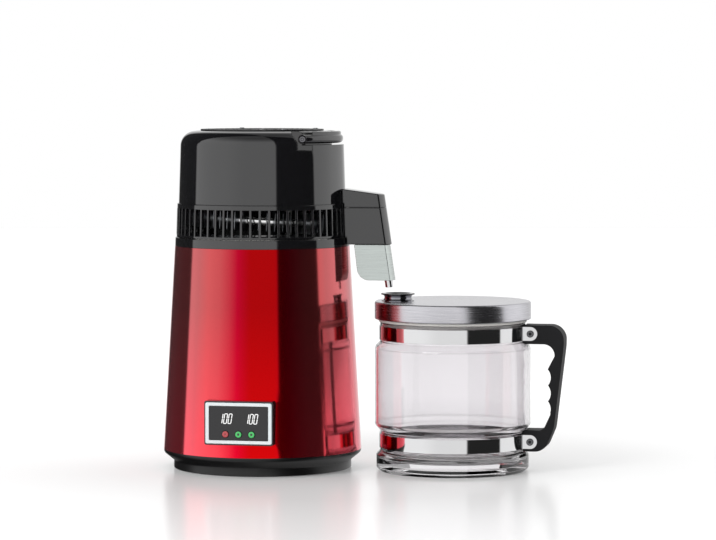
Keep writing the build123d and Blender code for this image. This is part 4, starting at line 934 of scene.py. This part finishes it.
# The cup's brushing runs level round its sides. Its hair-fine lines are drawn a millimetre
# wide, so that they show.
brushed_cup = material(
    "brushed_cup_steel", brushed("#c4cbc8", 0.3, 0.006, (0.03, 0.03, 1), (0.006, 1, 1))
)
# Charcoal cloth: a loose grey weave, seen only with the cup off.
charcoal_cloth = material("charcoal_cloth", moulded("#3a3a3a", 0.9, 0.8, 0.05, level=0.2))
# Polished stainless: a nearly clean mirror.
mirror_steel = material(
    "polished_stainless", scratched("#cfcfd0", 0.06, 1.0, 0.0012, (0.05, 0.05, 1))
)
dress(["filter_cup"], brushed_cup, edge_mm=0.6)
dress(["drip_tube"], mirror_steel)
dress(["carbon_sachet"], charcoal_cloth)


# The jug is pressed from clear soda glass, with a heavy foot, two waists for the steel straps
# and a wide belly between them. Where light crosses thick glass it turns faintly lilac.
JUG_X = 218.0
JUG_Y = -27.0
JUG_SIDES = 192
RIPPLE_MM = 35.0
RIPPLE_DEPTH_MM = 0.04
GLASS_OUTLINE = [
    (0, 13), (79.8, 13, 9.0), (79.8, 46.5, 3.0), (85.7, 53.7, 5.0), (85.7, 140.3, 5.0),
    (79.8, 147.5, 3.0), (79.8, 169.8, 1.4), (83, 169.8, 1.4), (83, 148, 3.0), (88.9, 141.5, 5.0),
    (88.9, 52.5, 5.0), (83, 46, 3.0), (83, 23.5, 2.0), (87.4, 18.5, 3.0), (87.4, 4, 2.5),
    (83.4, 0, 1.5), (73.4, 0, 2.0), (48.07, 5, 25.0), (0, 5),
]


def rounded(points, turn_degrees=6.0):
    """Points of an outline whose corners with a third value are arcs of that radius."""
    traced = []
    for i, point in enumerate(points):
        corner = Vector(point[:2])
        if len(point) < 3:
            traced.append(tuple(corner))
            continue
        before = (Vector(points[i - 1][:2]) - corner).normalized()
        after = (Vector(points[(i + 1) % len(points)][:2]) - corner).normalized()
        half = before.angle(after) / 2
        middle = corner + (before + after).normalized() * (point[2] / math.sin(half))
        start = corner + before * (point[2] / math.tan(half)) - middle
        end = corner + after * (point[2] / math.tan(half)) - middle
        swing = start.angle_signed(end)
        steps = max(2, math.ceil(abs(math.degrees(swing)) / turn_degrees))
        for step in range(steps + 1):
            turn = -swing * step / steps
            spoke = Vector((
                start.x * math.cos(turn) - start.y * math.sin(turn),
                start.x * math.sin(turn) + start.y * math.cos(turn),
            ))
            traced.append(tuple(middle + spoke))
    return traced


def pressed_glass(tree):
    """Clear soda glass with a faint tint and the slight ripple of pressing."""
    place = add(tree, "ShaderNodeTexCoord").outputs["Object"]
    ripple = add(
        tree, "ShaderNodeTexNoise", {"Vector": place, "Scale": 1000 / RIPPLE_MM, "Detail": 1.0}
    )
    bump = add(
        tree,
        "ShaderNodeBump",
        {"Height": ripple.outputs["Fac"], "Distance": RIPPLE_DEPTH_MM * 0.001},
    )
    return add(
        tree,
        "ShaderNodeBsdfPrincipled",
        {
            "Base Color": colour("#ebe9eb"),
            "Roughness": 0.0,
            "IOR": 1.5,
            "Transmission Weight": 1.0,
            "Normal": bump.outputs[0],
        },
    ).outputs[0]


soda_glass = material("pressed_soda_glass", pressed_glass)
jug_place = Matrix.Translation((JUG_X / 1000, JUG_Y / 1000, 0))
glass = revolved("glass_jug", rounded(GLASS_OUTLINE), soda_glass, JUG_SIDES, jug_place)
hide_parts("jug_glass")
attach(glass, "jug")


# The two straps are polished stainless bands clamped round the jug's waists. Their ends turn out
# into tabs on both sides of the handle, with a screw and nut through each pair.
dress(["upper_strap", "lower_strap"], mirror_steel)
dress(["clamp_screws", "clamp_nuts"], black_steel)
# Black discs paint the shade round each screw's head and in its hexagonal socket.
HANDLE_TURN = -11.0
SCREW_REACH = 91.3
SCREW_FACE = 16.2
SHADE_RIM = [(3.1, -0.1), (3.95, -0.1), (3.95, 0.06), (3.1, 0.06), (3.1, -0.1)]
SHADE_RIM_SIDES = 36
SOCKET_SHADE = [(0, -0.1), (1.66, -0.1), (1.66, 0.06), (0, 0.06)]
SOCKET_SIDES = 6
PAINTED_SHADE_DISCS = [("_screw_rim_shade", SHADE_RIM, SHADE_RIM_SIDES, 0.0), ("_screw_socket_shade", SOCKET_SHADE, SOCKET_SIDES, 1.2)]
for strap in ("upper_strap", "lower_strap"):
    low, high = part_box(strap)
    middle = (low[2] + high[2]) / 2 * 1000
    for ending, outline, sides, depth in PAINTED_SHADE_DISCS:
        place = upright(
            HANDLE_TURN - 90, SCREW_REACH, middle, SCREW_FACE - depth, (JUG_X, JUG_Y, 0)
        )
        # Painted shade: a polished black disc round the head, and one in the socket.
        shade_disc = revolved(strap + ending, outline, gloss_black, sides, place)
        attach(shade_disc, "jug")


# The handle is moulded in satin black nylon with finger hollows inside the grip and a broad
# chamfer round its outline.
# Satin nylon: charcoal, with a soft even shine that shows the chamfer as a lighter line.
satin_nylon = material(
    "satin_black_nylon", moulded("#1b1b1d", 0.55, 0.4, 0.006, level=0.2, edge_mm=0.8)
)
dress(["handle"], satin_nylon, edge_mm=0.5)


# The lid is a shallow pan pressed from brushed stainless sheet over a moulded white liner. A
# silicone ring on the liner seals the jug's neck.
# The lid's hair-fine lines are drawn a millimetre wide too.
brushed_lid = material(
    "brushed_lid_steel", brushed("#c4c3c8", 0.24, 0.012, (0.03, 0.03, 1), (0.004, 1, 1))
)
# Polypropylene liner: waxy white.
waxy_white = material("white_polypropylene", moulded("#e4e2da", 0.42, 0.8, 0.01))
dress(["lid"], brushed_lid)
dress(["lid_liner"], waxy_white)
dress(["lid_seal"], milky_silicone)


# The filling port is a waisted chrome collar with a black moulded funnel in it, which guides
# the drops into the jug.
# Dark chrome: a hard mirror with a smoky tone.
dark_chrome = material("dark_chrome", scratched("#8f8f94", 0.05, 1.0, 0.0004, (1, 1, 1)))
dress(["port_collar"], dark_chrome)
dress(["port_insert"], gloss_black)
